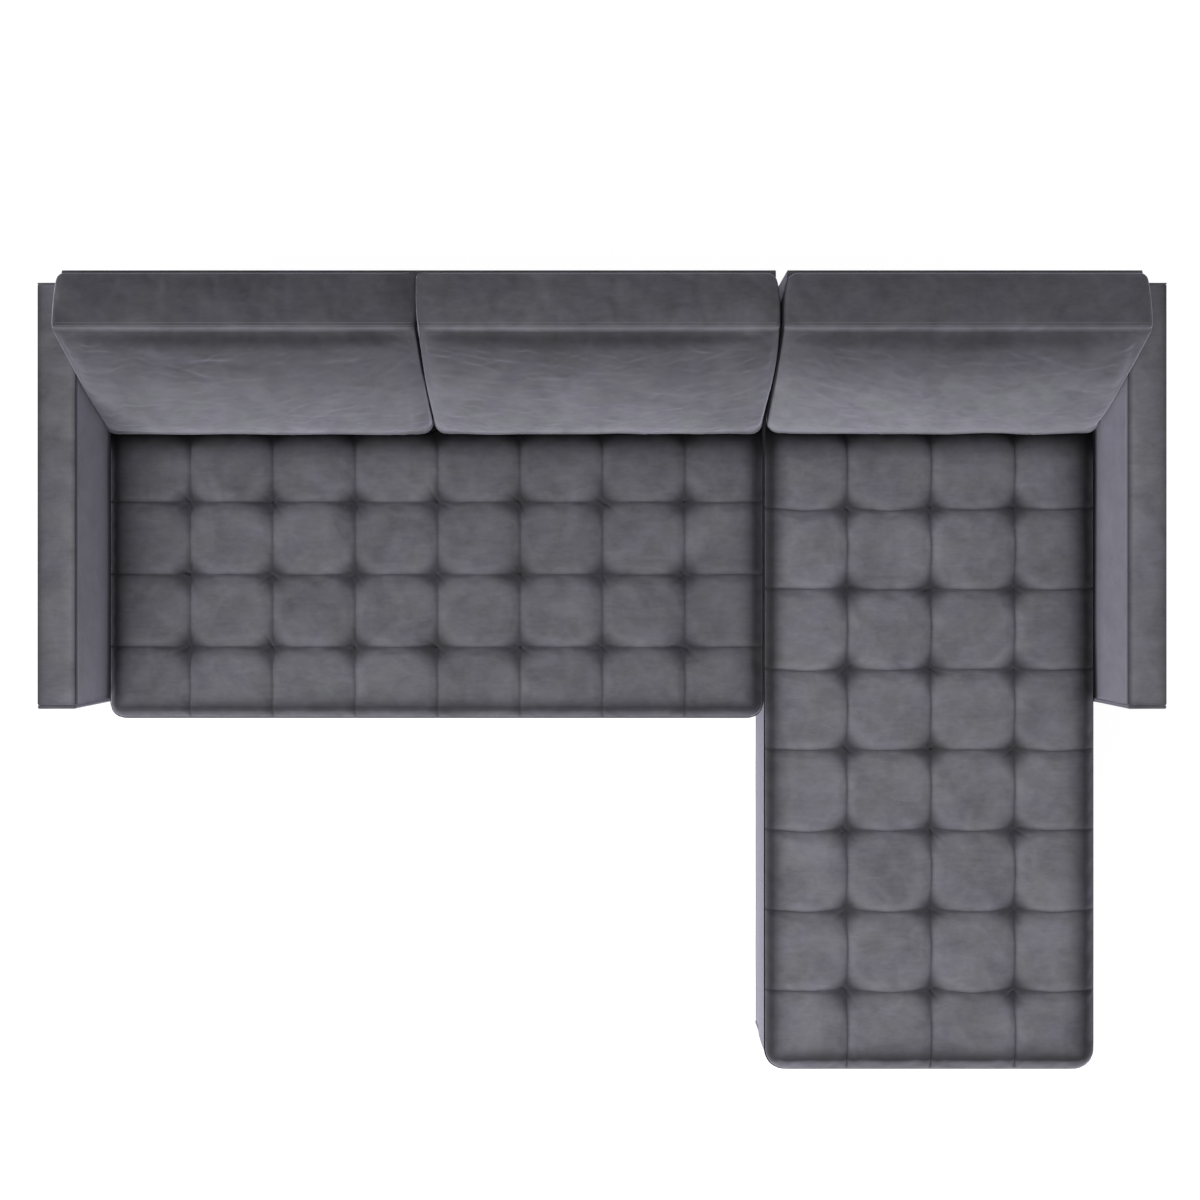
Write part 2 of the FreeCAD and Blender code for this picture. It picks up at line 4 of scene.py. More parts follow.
import bpy
import numpy as np
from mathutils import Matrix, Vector
from mathutils.bvhtree import BVHTree


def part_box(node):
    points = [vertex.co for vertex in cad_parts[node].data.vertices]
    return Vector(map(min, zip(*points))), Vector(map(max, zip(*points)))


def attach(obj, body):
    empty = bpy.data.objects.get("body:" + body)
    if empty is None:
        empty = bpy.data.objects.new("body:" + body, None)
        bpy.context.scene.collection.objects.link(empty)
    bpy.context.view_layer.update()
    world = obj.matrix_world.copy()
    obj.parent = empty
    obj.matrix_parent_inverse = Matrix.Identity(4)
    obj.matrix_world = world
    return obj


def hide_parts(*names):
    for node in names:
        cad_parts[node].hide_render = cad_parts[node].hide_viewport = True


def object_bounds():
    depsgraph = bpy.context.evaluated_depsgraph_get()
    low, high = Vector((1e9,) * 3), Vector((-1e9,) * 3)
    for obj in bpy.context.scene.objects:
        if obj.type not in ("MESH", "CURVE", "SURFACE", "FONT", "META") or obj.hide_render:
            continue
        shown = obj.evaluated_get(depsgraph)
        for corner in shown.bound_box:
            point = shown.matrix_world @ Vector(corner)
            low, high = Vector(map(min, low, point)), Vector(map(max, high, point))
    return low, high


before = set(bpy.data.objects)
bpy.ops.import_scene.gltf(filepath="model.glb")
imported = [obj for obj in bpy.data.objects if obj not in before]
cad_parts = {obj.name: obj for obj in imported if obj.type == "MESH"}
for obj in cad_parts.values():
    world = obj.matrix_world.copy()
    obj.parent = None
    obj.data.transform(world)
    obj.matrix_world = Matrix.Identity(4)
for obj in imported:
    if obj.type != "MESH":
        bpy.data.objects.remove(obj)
cad_low, cad_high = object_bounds()


# Studio: a pale floor in a plain bright room, with the camera straight above the sofa and looking down.
# The lens, gloss and glass see floor and room as white, and the floor keeps the sofa's soft shadow.

floor_size = 60.0
room_light = 0.36
floor_whitening = 0.65
floor_glow = 1.36
camera_lens, camera_film = 40.89, 36.0
camera_place = (-0.0045, 0.2025, 3.655)

scene = bpy.context.scene
scene.view_settings.view_transform = "Standard"


class Flow:
    """One output in a node tree. Arithmetic on it adds Math nodes, node() any other kind of node."""

    def __init__(self, tree, socket):
        self.tree = tree
        self.socket = socket

    def node(self, kind, settings=None, inputs=None, output=0):
        made = self.tree.nodes.new(kind)
        for name, value in (settings or {}).items():
            setattr(made, name, value)
        for name, value in (inputs or {}).items():
            if isinstance(value, Flow):
                self.tree.links.new(value.socket, made.inputs[name])
            else:
                made.inputs[name].default_value = value
        return Flow(self.tree, made.outputs[output]) if made.outputs else None

    def math(self, operation, first, second):
        return self.node("ShaderNodeMath", {"operation": operation}, {0: first, 1: second})

    def __add__(self, other):
        return self.math("ADD", self, other)

    def __sub__(self, other):
        return self.math("SUBTRACT", self, other)

    def __rsub__(self, other):
        return self.math("SUBTRACT", other, self)

    def __mul__(self, other):
        return self.math("MULTIPLY", self, other)

    __radd__ = __add__
    __rmul__ = __mul__

    def between(self, low, high):
        """0 below low, 1 above high, and a smooth step from one to the other."""
        settings = {"interpolation_type": "SMOOTHSTEP"}
        return self.node("ShaderNodeMapRange", settings, {"Value": self, "From Min": low, "From Max": high})

    def mix(self, first, second):
        """A colour that is first where this value is 0 and second where it is 1."""
        settings = {"data_type": "RGBA"}
        return self.node("ShaderNodeMix", settings, {0: self, 6: (*first, 1), 7: (*second, 1)}, output=2)

    def stretched(self, x, y, z):
        return self.node("ShaderNodeMapping", None, {"Vector": self, "Scale": (x, y, z)})

    def noise(self, scale, detail=2.0, roughness=0.5, distortion=0.0):
        inputs = {"Vector": self, "Scale": scale, "Detail": detail, "Roughness": roughness,
                  "Distortion": distortion}
        return self.node("ShaderNodeTexNoise", None, inputs)

    def bump(self, strength, distance):
        return self.node("ShaderNodeBump", None, {"Height": self, "Strength": strength, "Distance": distance})


def linked(name, data):
    """A new object in the scene, at the origin."""
    made = bpy.data.objects.new(name, data)
    scene.collection.objects.link(made)
    return made


def new_finish(name):
    """An empty material and the Object coordinates that its patterns are drawn on."""
    finish = bpy.data.materials.new(name)
    finish.use_nodes = True
    finish.node_tree.nodes.clear()
    return finish, Flow(finish.node_tree, finish.node_tree.nodes.new("ShaderNodeTexCoord").outputs["Object"])


def close_finish(finish, shader):
    shader.node("ShaderNodeOutputMaterial", None, {"Surface": shader})
    return finish


def plain_finish(finish, place, colour, roughness, **inputs):
    """Closes a material with one Principled shader."""
    sockets = {"Base Color": colour, "Roughness": roughness}
    sockets.update({name.replace("_", " "): value for name, value in inputs.items()})
    return close_finish(finish, place.node("ShaderNodeBsdfPrincipled", None, sockets))


def seen_directly(place):
    """1 for rays of the lens, gloss and glass, 0 for the light that falls on things."""
    path = place.tree.nodes.new("ShaderNodeLightPath")
    lens, gloss, glass = (Flow(place.tree, path.outputs[ray])
                          for ray in ("Is Camera Ray", "Is Glossy Ray", "Is Transmission Ray"))
    return lens.math("MAXIMUM", lens.math("MAXIMUM", lens, gloss), glass)


def make_floor():
    finish, place = new_finish("pale_floor")
    paint = place.node("ShaderNodeBsdfDiffuse", None, {"Color": (0.86, 0.86, 0.86, 1)})
    glow = place.node("ShaderNodeEmission", None, {"Color": (1, 1, 1, 1), "Strength": floor_glow})
    share = seen_directly(place) * floor_whitening
    close_finish(finish, place.node("ShaderNodeMixShader", None, {0: share, 1: paint, 2: glow}))
    half = floor_size / 2
    mesh = bpy.data.meshes.new("floor")
    corners = [(-half, -half, 0), (half, -half, 0), (half, half, 0), (-half, half, 0)]
    mesh.from_pydata(corners, [], [(0, 1, 2, 3)])
    mesh.materials.append(finish)
    linked("floor", mesh)


def make_room():
    world = bpy.data.worlds.new("bright_room")
    world.use_nodes = True
    world.node_tree.nodes.clear()
    place = Flow(world.node_tree, world.node_tree.nodes.new("ShaderNodeTexCoord").outputs["Object"])
    strength = seen_directly(place) * (1 - room_light) + room_light
    glow = place.node("ShaderNodeBackground", None, {"Color": (1, 1, 1, 1), "Strength": strength})
    glow.node("ShaderNodeOutputWorld", None, {"Surface": glow})
    scene.world = world


def soft_lamp(name, place, target, size, watts):
    lamp = bpy.data.lights.new(name, "AREA")
    lamp.shape = "DISK"
    lamp.size = size
    lamp.energy = watts
    holder = linked(name, lamp)
    holder.location = place
    holder.rotation_euler = (Vector(target) - Vector(place)).to_track_quat("-Z", "Y").to_euler()


make_floor()
make_room()
soft_lamp("key_lamp", (-1.9, -2.9, 2.7), (0.1, 0.2, 0.4), size=1.8, watts=125)
soft_lamp("top_lamp", (0.2, 0.4, 5.2), (0, 0.1, 0.4), size=3.0, watts=40)
camera = bpy.data.cameras.new("overhead_camera")
camera.lens, camera.sensor_width = camera_lens, camera_film
scene.camera = linked("overhead_camera", camera)
scene.camera.location = camera_place


# Frame timber: kiln-dried softwood rails, posts and corner blocks of the two bases, the back panels and arms.
# The bars are sawn square, glued and stapled; everything else is fixed to them.

def timber_finish(name, along):
    finish, place = new_finish(name)
    stretch = [22.0, 22.0, 22.0]
    stretch[along] = 1.6
    grain = place.stretched(*stretch).noise(3.0, detail=5.0, roughness=0.6, distortion=0.8)
    fibre = place.stretched(*[value * 9 for value in stretch]).noise(3.0, detail=2.0)
    tone = grain.between(0.3, 0.72) * 0.75 + fibre * 0.25
    colour = tone.mix((0.64, 0.47, 0.29), (0.40, 0.25, 0.13))
    return plain_finish(finish, place, colour, tone * 0.2 + 0.55, Normal=(fibre + grain).bump(0.25, 0.0006))


def refinish(finish, *nodes):
    """Gives carried-over solids their finish."""
    for node in nodes:
        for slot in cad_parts[node].material_slots:
            slot.material = finish


rail_timber = timber_finish("pine_along_rails", 0)
post_timber = timber_finish("pine_along_posts", 2)
refinish(rail_timber, "sofa_base_rails", "sofa_corner_blocks", "sofa_back_rails")
refinish(rail_timber, "chaise_base_rails", "chaise_corner_blocks", "chaise_back_rails")
refinish(post_timber, "sofa_back_posts", "chaise_back_posts", "left_arm_frame", "right_arm_frame")


# Steel fittings: pressed spring clips, leg plates and bolts in bright zinc, and the black hooks that join the
# two sections: pockets screwed to the sofa's side and tongues on the chaise's side.

def metal_finish(name, dark, light, scale, roughness):
    finish, place = new_finish(name)
    cloud = place.noise(scale, detail=4.0, roughness=0.6)
    scratches = place.stretched(1, 12, 1).noise(scale * 6, detail=2.0)
    tone = cloud.between(0.3, 0.7)
    shine = tone * 0.12 + scratches * 0.1 + roughness
    relief = scratches.bump(0.08, 0.0003)
    return plain_finish(finish, place, tone.mix(dark, light), shine, Metallic=1.0, Normal=relief)


zinc = metal_finish("zinc_plated_steel", (0.50, 0.50, 0.48), (0.66, 0.66, 0.63), 60, 0.25)
black_steel = metal_finish("black_coated_steel", (0.02, 0.02, 0.022), (0.045, 0.045, 0.048), 90, 0.42)
refinish(zinc, "sofa_spring_clips", "chaise_spring_clips", "sofa_leg_plates", "chaise_leg_plates")
refinish(zinc, "sofa_leg_bolts", "chaise_leg_bolts", "left_arm_bolts", "right_arm_bolts")
refinish(black_steel, "connector_pockets", "connector_tongues")


# Seat springs: 3.8 mm zigzag wire in parallel runs, clipped to the rails at both ends.
# The sofa's springs run front to back and the chaise's run across it.

wire_radius = 0.0019
spring_pitch = 0.028
spring_half_run = 0.013
clip_depth = 0.009
wire_sides = 8
bend_steps = 6


def new_tree(name, **sizes):
    """A geometry tree that takes a path, named sizes and a finish. It gives the tree, the path as a curve and
    what comes in by name."""
    tree = bpy.data.node_groups.new(name, "GeometryNodeTree")
    tree.interface.new_socket("Path", in_out="INPUT", socket_type="NodeSocketGeometry")
    for size, kind in {**sizes, "Finish": "Material"}.items():
        tree.interface.new_socket(size, in_out="INPUT", socket_type="NodeSocket" + kind)
    tree.interface.new_socket("Result", in_out="OUTPUT", socket_type="NodeSocketGeometry")
    entry = tree.nodes.new("NodeGroupInput")
    given = {socket.name: Flow(tree, socket) for socket in entry.outputs if socket.name}
    return tree, given["Path"].node("GeometryNodeMeshToCurve", None, {0: given["Path"]}), given


def close_tree(tree, geometry, finish):
    real = geometry.node("GeometryNodeRealizeInstances", None, {0: geometry})
    smooth = real.node("GeometryNodeSetShadeSmooth", None, {0: real})
    painted = smooth.node("GeometryNodeSetMaterial", None, {"Geometry": smooth, "Material": finish})
    painted.node("NodeGroupOutput", None, {0: painted})
    return tree


def tube_tree():
    """Sweeps a round section along each path."""
    tree, curve, given = new_tree("tube_along_path", Radius="Float", Sides="Int")
    circle = {"Resolution": given["Sides"], "Radius": given["Radius"]}
    section = curve.node("GeometryNodeCurvePrimitiveCircle", None, circle)
    swept = {"Curve": curve, "Profile Curve": section, "Fill Caps": True}
    tube = curve.node("GeometryNodeCurveToMesh", None, swept)
    return close_tree(tree, tube, given["Finish"])


def path_mesh(name, runs, closed):
    """Loose points and edges along each run of points."""
    points = []
    edges = []
    for run in runs:
        first = len(points)
        points += [tuple(point) for point in run]
        edges += [(first + i, first + i + 1) for i in range(len(run) - 1)]
        if closed:
            edges.append((len(points) - 1, first))
    mesh = bpy.data.meshes.new(name)
    mesh.from_pydata(points, edges, [])
    return mesh


def settled(piece):
    """Gives a piece the plain mesh that its modifiers make."""
    made = bpy.data.meshes.new_from_object(piece.evaluated_get(bpy.context.evaluated_depsgraph_get()))
    piece.modifiers.clear()
    piece.data = made
    return piece


def grown(name, runs, tree, sizes, closed=False):
    """What a geometry tree makes along runs of points."""
    piece = linked(name, path_mesh(name, runs, closed))
    modifier = piece.modifiers.new("grow", "NODES")
    modifier.node_group = tree
    for item in tree.interface.items_tree:
        if item.item_type == "SOCKET" and item.in_out == "INPUT" and item.name in sizes:
            modifier[item.identifier] = sizes[item.name]
    return settled(piece)


def fitted(piece, body, slot, *nodes):
    """Fixes a finished piece to its body and hides the solids it stands for. The slot is not used."""
    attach(piece, body)
    if nodes:
        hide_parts(*nodes)
    return piece


def zigzag(length):
    """Points of one spring along +Y from the origin: straight runs along X, joined by half turns."""
    turns = int(length // spring_pitch)
    pitch = length / turns
    points = []
    for i in range(turns + 1):
        side = 1 if i % 2 == 0 else -1
        points.append((-side * spring_half_run, pitch * i))
        points.append((side * spring_half_run, pitch * i))
        if i < turns:
            for step in range(1, bend_steps):
                angle = math.pi * step / bend_steps
                across = side * (spring_half_run + pitch / 2 * math.sin(angle))
                points.append((across, pitch * (i + 0.5) - pitch / 2 * math.cos(angle)))
    return points


def springs(section, count, along_y):
    """One spring between each pair of facing clips, read from where the clips are."""
    low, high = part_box(section + "_seat_springs")
    clips_low, clips_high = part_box(section + "_spring_clips")
    level = (low.z + high.z) / 2
    run_axis, row_axis = (1, 0) if along_y else (0, 1)
    start = clips_low[run_axis] + clip_depth / 2
    length = clips_high[run_axis] - clips_low[run_axis] - clip_depth
    reach = spring_half_run + length / int(length // spring_pitch) / 2 + wire_radius
    first, last = low[row_axis] + reach, high[row_axis] - reach
    runs = []
    for i in range(count):
        row = first + (last - first) * i / (count - 1)
        if along_y:
            runs.append([(row + x, start + y, level) for x, y in zigzag(length)])
        else:
            runs.append([(start + y, row - x, level) for x, y in zigzag(length)])
    sizes = {"Radius": wire_radius, "Sides": wire_sides, "Finish": spring_steel}
    piece = grown(section + "_zigzag_springs", runs, tube_along_path, sizes)
    fitted(piece, section + "_section", "spring_steel", section + "_seat_springs")


spring_steel = metal_finish("oiled_spring_wire", (0.13, 0.13, 0.14), (0.27, 0.27, 0.28), 120, 0.3)
tube_along_path = tube_tree()
springs("sofa", 9, along_y=True)
springs("chaise", 10, along_y=False)


# Legs: turned walnut cones with a soft shoulder and a small foot, screwed up through the corner plates.
# Each stands on a nailed glide of black nylon.

def walnut_finish():
    finish, place = new_finish("oiled_walnut")
    grain = place.stretched(30, 30, 2.2).noise(4.0, detail=6.0, roughness=0.62, distortion=1.2)
    pores = place.stretched(420, 420, 26).noise(2.0, detail=1.0)
    tone = grain.between(0.28, 0.74)
    colour = tone.mix((0.030, 0.014, 0.008), (0.125, 0.062, 0.032))
    relief = (grain * 0.6 + pores.between(0.55, 0.7) * 0.4).bump(0.2, 0.0004)
    return plain_finish(finish, place, colour, pores * 0.15 + 0.34, Normal=relief, Coat_Weight=0.15)


def nylon_finish():
    finish, place = new_finish("moulded_nylon")
    speck = place.noise(1400, detail=2.0)
    colour = speck.mix((0.012, 0.012, 0.013), (0.03, 0.03, 0.032))
    return plain_finish(finish, place, colour, speck * 0.2 + 0.4, Normal=speck.bump(0.15, 0.0002))


plate_size = 0.07
leg_sides = 48
leg_shape = ((0.0, 13.0), (0.0, 13.6), (0.006, 14.0), (0.30, 17.0), (0.70, 21.0), (0.965, 23.65),
             (0.985, 23.85), (0.996, 23.5), (1.0, 22.6), (1.0, 4.1))


def turned(centre, bottom, height):
    """Rings of points of a leg and its faces. Its shape pairs a share of the height with a radius in mm."""
    angles = np.linspace(0, 2 * math.pi, leg_sides, endpoint=False)
    rings = []
    for share, radius in leg_shape:
        ring = np.stack([np.cos(angles), np.sin(angles), np.zeros(leg_sides)], axis=1) * radius / 1000
        rings.append(ring + (centre[0], centre[1], bottom + height * share))
    faces = []
    for level in range(len(rings) - 1):
        for i in range(leg_sides):
            j = (i + 1) % leg_sides
            a, b = level * leg_sides, (level + 1) * leg_sides
            faces.append((a + i, a + j, b + j, b + i))
    faces.append(tuple(range(leg_sides))[::-1])
    top = (len(rings) - 1) * leg_sides
    faces.append(tuple(range(top, top + leg_sides)))
    return np.concatenate(rings), faces


def joined(shapes):
    """The points and faces of several shapes as those of one."""
    points = []
    faces = []
    first = 0
    for part_points, part_faces in shapes:
        points.append(part_points)
        faces += [tuple(int(i) + first for i in face) for face in part_faces]
        first += len(part_points)
    return np.concatenate(points), faces


def mesh_piece(name, shape, finish):
    """An object at the origin from points and faces, smooth all over."""
    points, faces = shape
    mesh = bpy.data.meshes.new(name)
    mesh.from_pydata([tuple(point) for point in points], [], [tuple(face) for face in faces])
    mesh.shade_smooth()
    mesh.materials.append(finish)
    return linked(name, mesh)


walnut = walnut_finish()
for section in ("sofa", "chaise"):
    low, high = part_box(section + "_leg_plates")
    foot, head = (corner.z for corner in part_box(section + "_legs"))
    half = plate_size / 2
    legs = [turned((x, y), foot, head - foot) for x in (low.x + half, high.x - half)
            for y in (low.y + half, high.y - half)]
    fitted(mesh_piece(section + "_turned_legs", joined(legs), walnut), section + "_section", "leg_wood",
           section + "_legs")
refinish(nylon_finish(), "sofa_leg_glides", "chaise_leg_glides")


# Deck pads: a 13 mm felt and fibre pad over the springs under each seat cushion, in black lining cloth.
# The cloth is pulled over the edges and stapled to the rails below.

edge_lines = 6


def grid_lines(low, high, cell, edge, seams=(), gather=0.0):
    """Grid lines from low to high: close together over a rounded edge, and gathered towards seams."""
    turn = edge * (1 - np.cos(np.linspace(0, math.pi / 2, edge_lines + 1)))[:-1]
    lines = [low + turn]
    marks = [low + edge, *seams, high - edge]
    for start, end in zip(marks, marks[1:]):
        count = max(1, round((end - start) / cell))
        share = np.arange(count) / count
        share = share - gather * np.sin(2 * math.pi * share) / (2 * math.pi)
        lines.append(start + (end - start) * share)
    return np.concatenate([*lines, [high - edge], (high - turn)[::-1]])


def block_surface(xs, ys, levels):
    """A closed block of quads: a bottom grid, a top grid and rings of points between their borders.
    It gives x and y of each point, its share of the height, the faces and the top grid's border."""
    nx, ny = len(xs), len(ys)
    grid_x, grid_y = (values.ravel() for values in np.meshgrid(xs, ys, indexing="ij"))
    index = np.arange(nx * ny).reshape(nx, ny)
    border = np.concatenate([index[:, 0], index[-1, 1:], index[-2::-1, -1], index[0, -2:0:-1]])
    x = np.concatenate([grid_x, grid_x] + [grid_x[border]] * (levels - 1))
    y = np.concatenate([grid_y, grid_y] + [grid_y[border]] * (levels - 1))
    heights = np.repeat(np.arange(1, levels) / levels, len(border))
    share = np.concatenate([np.zeros(nx * ny), np.ones(nx * ny), heights])
    quads = np.stack([index[:-1, :-1], index[1:, :-1], index[1:, 1:], index[:-1, 1:]], axis=-1).reshape(-1, 4)
    faces = [quads[:, ::-1], quads + nx * ny]
    rings = [border]
    rings += [2 * nx * ny + level * len(border) + np.arange(len(border)) for level in range(levels - 1)]
    rings.append(border + nx * ny)
    for lower, upper in zip(rings, rings[1:]):
        faces.append(np.stack([lower, np.roll(lower, -1), np.roll(upper, -1), upper], axis=-1))
    return x, y, share, np.concatenate(faces), rings[-1]


def near(values, reach, power=2):
    """A bell curve: 1 at 0, falling away over the reach."""
    return np.exp(-((values / reach) ** power))


def unit(values):
    return np.clip(values, 0, 1)


def round_corners(x, y, low, high, radius):
    """Draws the square corners of a rectangular grid in to quarter circles."""
    dx = x - np.clip(x, low[0] + radius, high[0] - radius)
    dy = y - np.clip(y, low[1] + radius, high[1] - radius)
    length = np.hypot(dx, dy)
    pull = np.where(length > 0, np.maximum(abs(dx), abs(dy)) / np.maximum(length, 1e-9), 1) - 1
    return x + dx * pull, y + dy * pull


def edge_distance(x, y, low, high, radius):
    """How far points lie inside the edge of a rectangle with round corners."""
    qx = abs(x - (low[0] + high[0]) / 2) - (high[0] - low[0]) / 2 + radius
    qy = abs(y - (low[1] + high[1]) / 2) - (high[1] - low[1]) / 2 + radius
    return radius - np.hypot(np.maximum(qx, 0), np.maximum(qy, 0)) - np.minimum(np.maximum(qx, qy), 0)


def rolled(distance, across, down):
    """How far a surface has dropped near its edge, over an elliptical roll."""
    share = 1 - unit(distance / across)
    return down * (1 - np.sqrt(np.maximum(0, 1 - share**2)))


def dice(name):
    """Random draws that are the same for a name each time."""
    return np.random.default_rng(zlib.crc32(name.encode()))


def ripples(u, v, chance, length, height):
    """The gentle unevenness of filling under cloth: long waves at random angles."""
    waves = 9
    total = np.zeros_like(u)
    for _ in range(waves):
        angle = chance.uniform(0, 2 * math.pi)
        wave = length * chance.uniform(0.6, 1.9)
        phase = chance.uniform(0, 2 * math.pi)
        total += np.sin((u * math.cos(angle) + v * math.sin(angle)) * 2 * math.pi / wave + phase)
    return total * height / math.sqrt(waves)


def outwards(points, faces):
    """The faces of a closed shape, turned to point outwards."""
    a, b, c = (points[faces[:, i]] for i in range(3))
    d = points[faces[:, 3]]
    volume = (np.cross(b - a, c - a) * (a + b + c)).sum() + (np.cross(c - a, d - a) * (a + c + d)).sum()
    return faces if volume > 0 else faces[:, ::-1]


def pad_shape(name, low, high, axes="xyz", facing=1, cell=0.02, corner=0.004, roll=0.004, crown=0.0,
              wave=0.0004):
    """A pad between two corners of a box. Its last axis is its thickness, facing tells which side shows:
    that side has a rolled edge, a crown and a gentle unevenness, all inside the box."""
    order = ["xyz".index(axis) for axis in axes]
    a, b = [low[i] for i in order], [high[i] for i in order]
    thick = b[2] - a[2]
    roll = min(roll, thick * 0.6)
    us = grid_lines(a[0], b[0], cell, roll)
    vs = grid_lines(a[1], b[1], cell, roll)
    u, v, share, faces, _ = block_surface(us, vs, 3)
    u, v = round_corners(u, v, a, b, corner)
    inside = edge_distance(u, v, a, b, corner)
    chance = dice(name)
    reach = 0.5 * min(b[0] - a[0], b[1] - a[1])
    swell = 1 - unit(inside / reach)
    relief = crown * swell**2 + wave * 2 + ripples(u, v, chance, 0.22, wave)
    top = thick - rolled(inside, roll, roll) - np.clip(relief, 0, thick * 0.4) * unit(inside / roll)
    bottom = rolled(inside, roll * 0.6, roll * 0.4)
    edge_low, edge_high = roll * 0.4, thick - roll
    w = np.where(share == 0, bottom, np.where(share == 1, top, edge_low + share * (edge_high - edge_low)))
    local = [u, v, a[2] + w if facing > 0 else b[2] - w]
    points = np.zeros((len(u), 3))
    for place, values in zip(order, local):
        points[:, place] = values
    return points, outwards(points, faces)


def lining_finish():
    """Black woven lining cloth."""
    finish, place = new_finish("black_lining")
    warp = place.stretched(1, 0.04, 0.04).noise(2600, detail=0.0)
    weft = place.stretched(0.04, 1, 0.04).noise(2600, detail=0.0)
    cloud = place.noise(14, detail=3.0)
    weave = warp * 0.5 + weft * 0.5
    colour = (weave * 0.6 + cloud * 0.4).mix((0.012, 0.012, 0.013), (0.05, 0.05, 0.054))
    return plain_finish(finish, place, colour, 0.92, Normal=weave.bump(0.4, 0.0004))


def soft_piece(name, shape, finish, body, slot, node):
    """A padded piece that stands for a solid."""
    piece = fitted(mesh_piece(name, shape, finish), body, slot, node)
    return piece


lining = lining_finish()
for section in ("sofa", "chaise"):
    node = section + "_deck_pad"
    shape = pad_shape(section + "_deck", *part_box(node), roll=0.007, crown=0.002, wave=0.0006)
    soft_piece(section + "_lined_deck", shape, lining, section + "_section", "deck_cloth", node)


# Dust covers: a sheet of black spun cloth stapled flat under each base, cut out round the leg plates.
# The staples run along all four edges.

staple_spacing = 0.045
staple_size = (0.005, 0.0006, 0.0004)
staple_inset = 0.012
plate_play = 0.001
dust_cell = 0.03
dust_thickness, dust_play, dust_sag = 0.0011, 0.0003, 0.001
taut_edge = 0.12
half_diagonal = 0.71


def spun_finish():
    finish, place = new_finish("spun_dust_cloth")
    dots = place.node("ShaderNodeTexVoronoi", None, {"Vector": place, "Scale": 650.0})
    cloud = place.noise(60, detail=4.0)
    tone = dots.between(0.1, 0.6) * 0.5 + cloud * 0.5
    colour = tone.mix((0.010, 0.010, 0.011), (0.034, 0.034, 0.037))
    return plain_finish(finish, place, colour, 0.88, Normal=dots.bump(0.3, 0.0003))


def row_tree(name, kind, settings):
    """Sets a small solid at even steps along each path, its length along the path."""
    tree, curve, given = new_tree(name, Spacing="Float", Size="Vector")
    steps = {"Curve": curve, "Length": given["Spacing"]}
    points = curve.node("GeometryNodeCurveToPoints", {"mode": "LENGTH"}, steps)
    tangent = Flow(tree, points.socket.node.outputs["Tangent"])
    turn = points.node("FunctionNodeAlignRotationToVector", {"axis": "X"}, {"Vector": tangent})
    solid = curve.node(kind, None, settings)
    placed = {"Points": points, "Instance": solid, "Rotation": turn, "Scale": given["Size"]}
    copies = points.node("GeometryNodeInstanceOnPoints", None, placed)
    return close_tree(tree, copies, given["Finish"])


def even_lines(marks, cell):
    """Grid lines about one cell apart, with one on each mark."""
    lines = []
    for start, end in zip(marks, marks[1:]):
        lines.append(np.linspace(start, end, max(2, round((end - start) / cell) + 1))[:-1])
    return np.concatenate([*lines, [marks[-1]]])


def dust_cover(section):
    """One layer of cloth on a grid with the plate cut-outs left open, thickened downwards, and its staples."""
    low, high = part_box(section + "_dust_cover")
    plates_low, plates_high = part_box(section + "_leg_plates")
    hole = plate_size + 2 * plate_play
    starts_x = (plates_low.x - plate_play, plates_high.x + plate_play - hole)
    starts_y = (plates_low.y - plate_play, plates_high.y + plate_play - hole)
    holes = [(x, y) for x in starts_x for y in starts_y]
    xs = even_lines([low.x, *[x + step for x in starts_x for step in (0, hole)], high.x], dust_cell)
    ys = even_lines([low.y, *[y + step for y in starts_y for step in (0, hole)], high.y], dust_cell)
    x, y = (values.ravel() for values in np.meshgrid(xs, ys, indexing="ij"))
    free = edge_distance(x, y, low, high, 0.0)
    for hole_x, hole_y in holes:
        away = np.hypot(x - (hole_x + hole / 2), y - (hole_y + hole / 2))
        free = np.minimum(free, away - hole * half_diagonal)
    sag = unit(free / taut_edge) * (ripples(x, y, dice(section), 0.3, 0.0006) - dust_sag)
    points = np.stack([x, y, high.z - dust_play + np.minimum(sag, 0)], axis=1)
    index = np.arange(len(x)).reshape(len(xs), len(ys))
    faces = []
    for i in range(len(xs) - 1):
        for j in range(len(ys) - 1):
            mx, my = (xs[i] + xs[i + 1]) / 2, (ys[j] + ys[j + 1]) / 2
            if not any(0 < mx - hole_x < hole and 0 < my - hole_y < hole for hole_x, hole_y in holes):
                faces.append((index[i, j], index[i, j + 1], index[i + 1, j + 1], index[i + 1, j]))
    piece = mesh_piece(section + "_dust_sheet", (points, faces), spun_cloth)
    thickness = piece.modifiers.new("thickness", "SOLIDIFY")
    thickness.thickness = dust_thickness
    fitted(piece, section + "_section", "dust_cloth", section + "_dust_cover")
    left, right = low.x + staple_inset, high.x - staple_inset
    front, rear = low.y + staple_inset, high.y - staple_inset
    corners = [(left, front, low.z), (right, front, low.z), (right, rear, low.z), (left, rear, low.z)]
    sizes = {"Spacing": staple_spacing, "Size": staple_size, "Finish": zinc}
    piece = grown(section + "_dust_cover_staples", [corners], staples_along_path, sizes, closed=True)
    fitted(piece, section + "_section", "zinc_steel")


spun_cloth = spun_finish()
staples_along_path = row_tree("staples_along_path", "GeometryNodeMeshCube", {"Size": (2.0, 2.0, 2.0)})
for section in ("sofa", "chaise"):
    dust_cover(section)


# Base covers: grey velvet over thin wadding, pulled down the front and sides of each base and stapled
# underneath. The front panel meets the sides in a plain seam at each corner.

velvet_dark = (0.003, 0.003, 0.0035)
velvet_lilac = (0.301, 0.294, 0.342)
velvet_slate = (0.294, 0.296, 0.320)
velvet_middle = 0.387


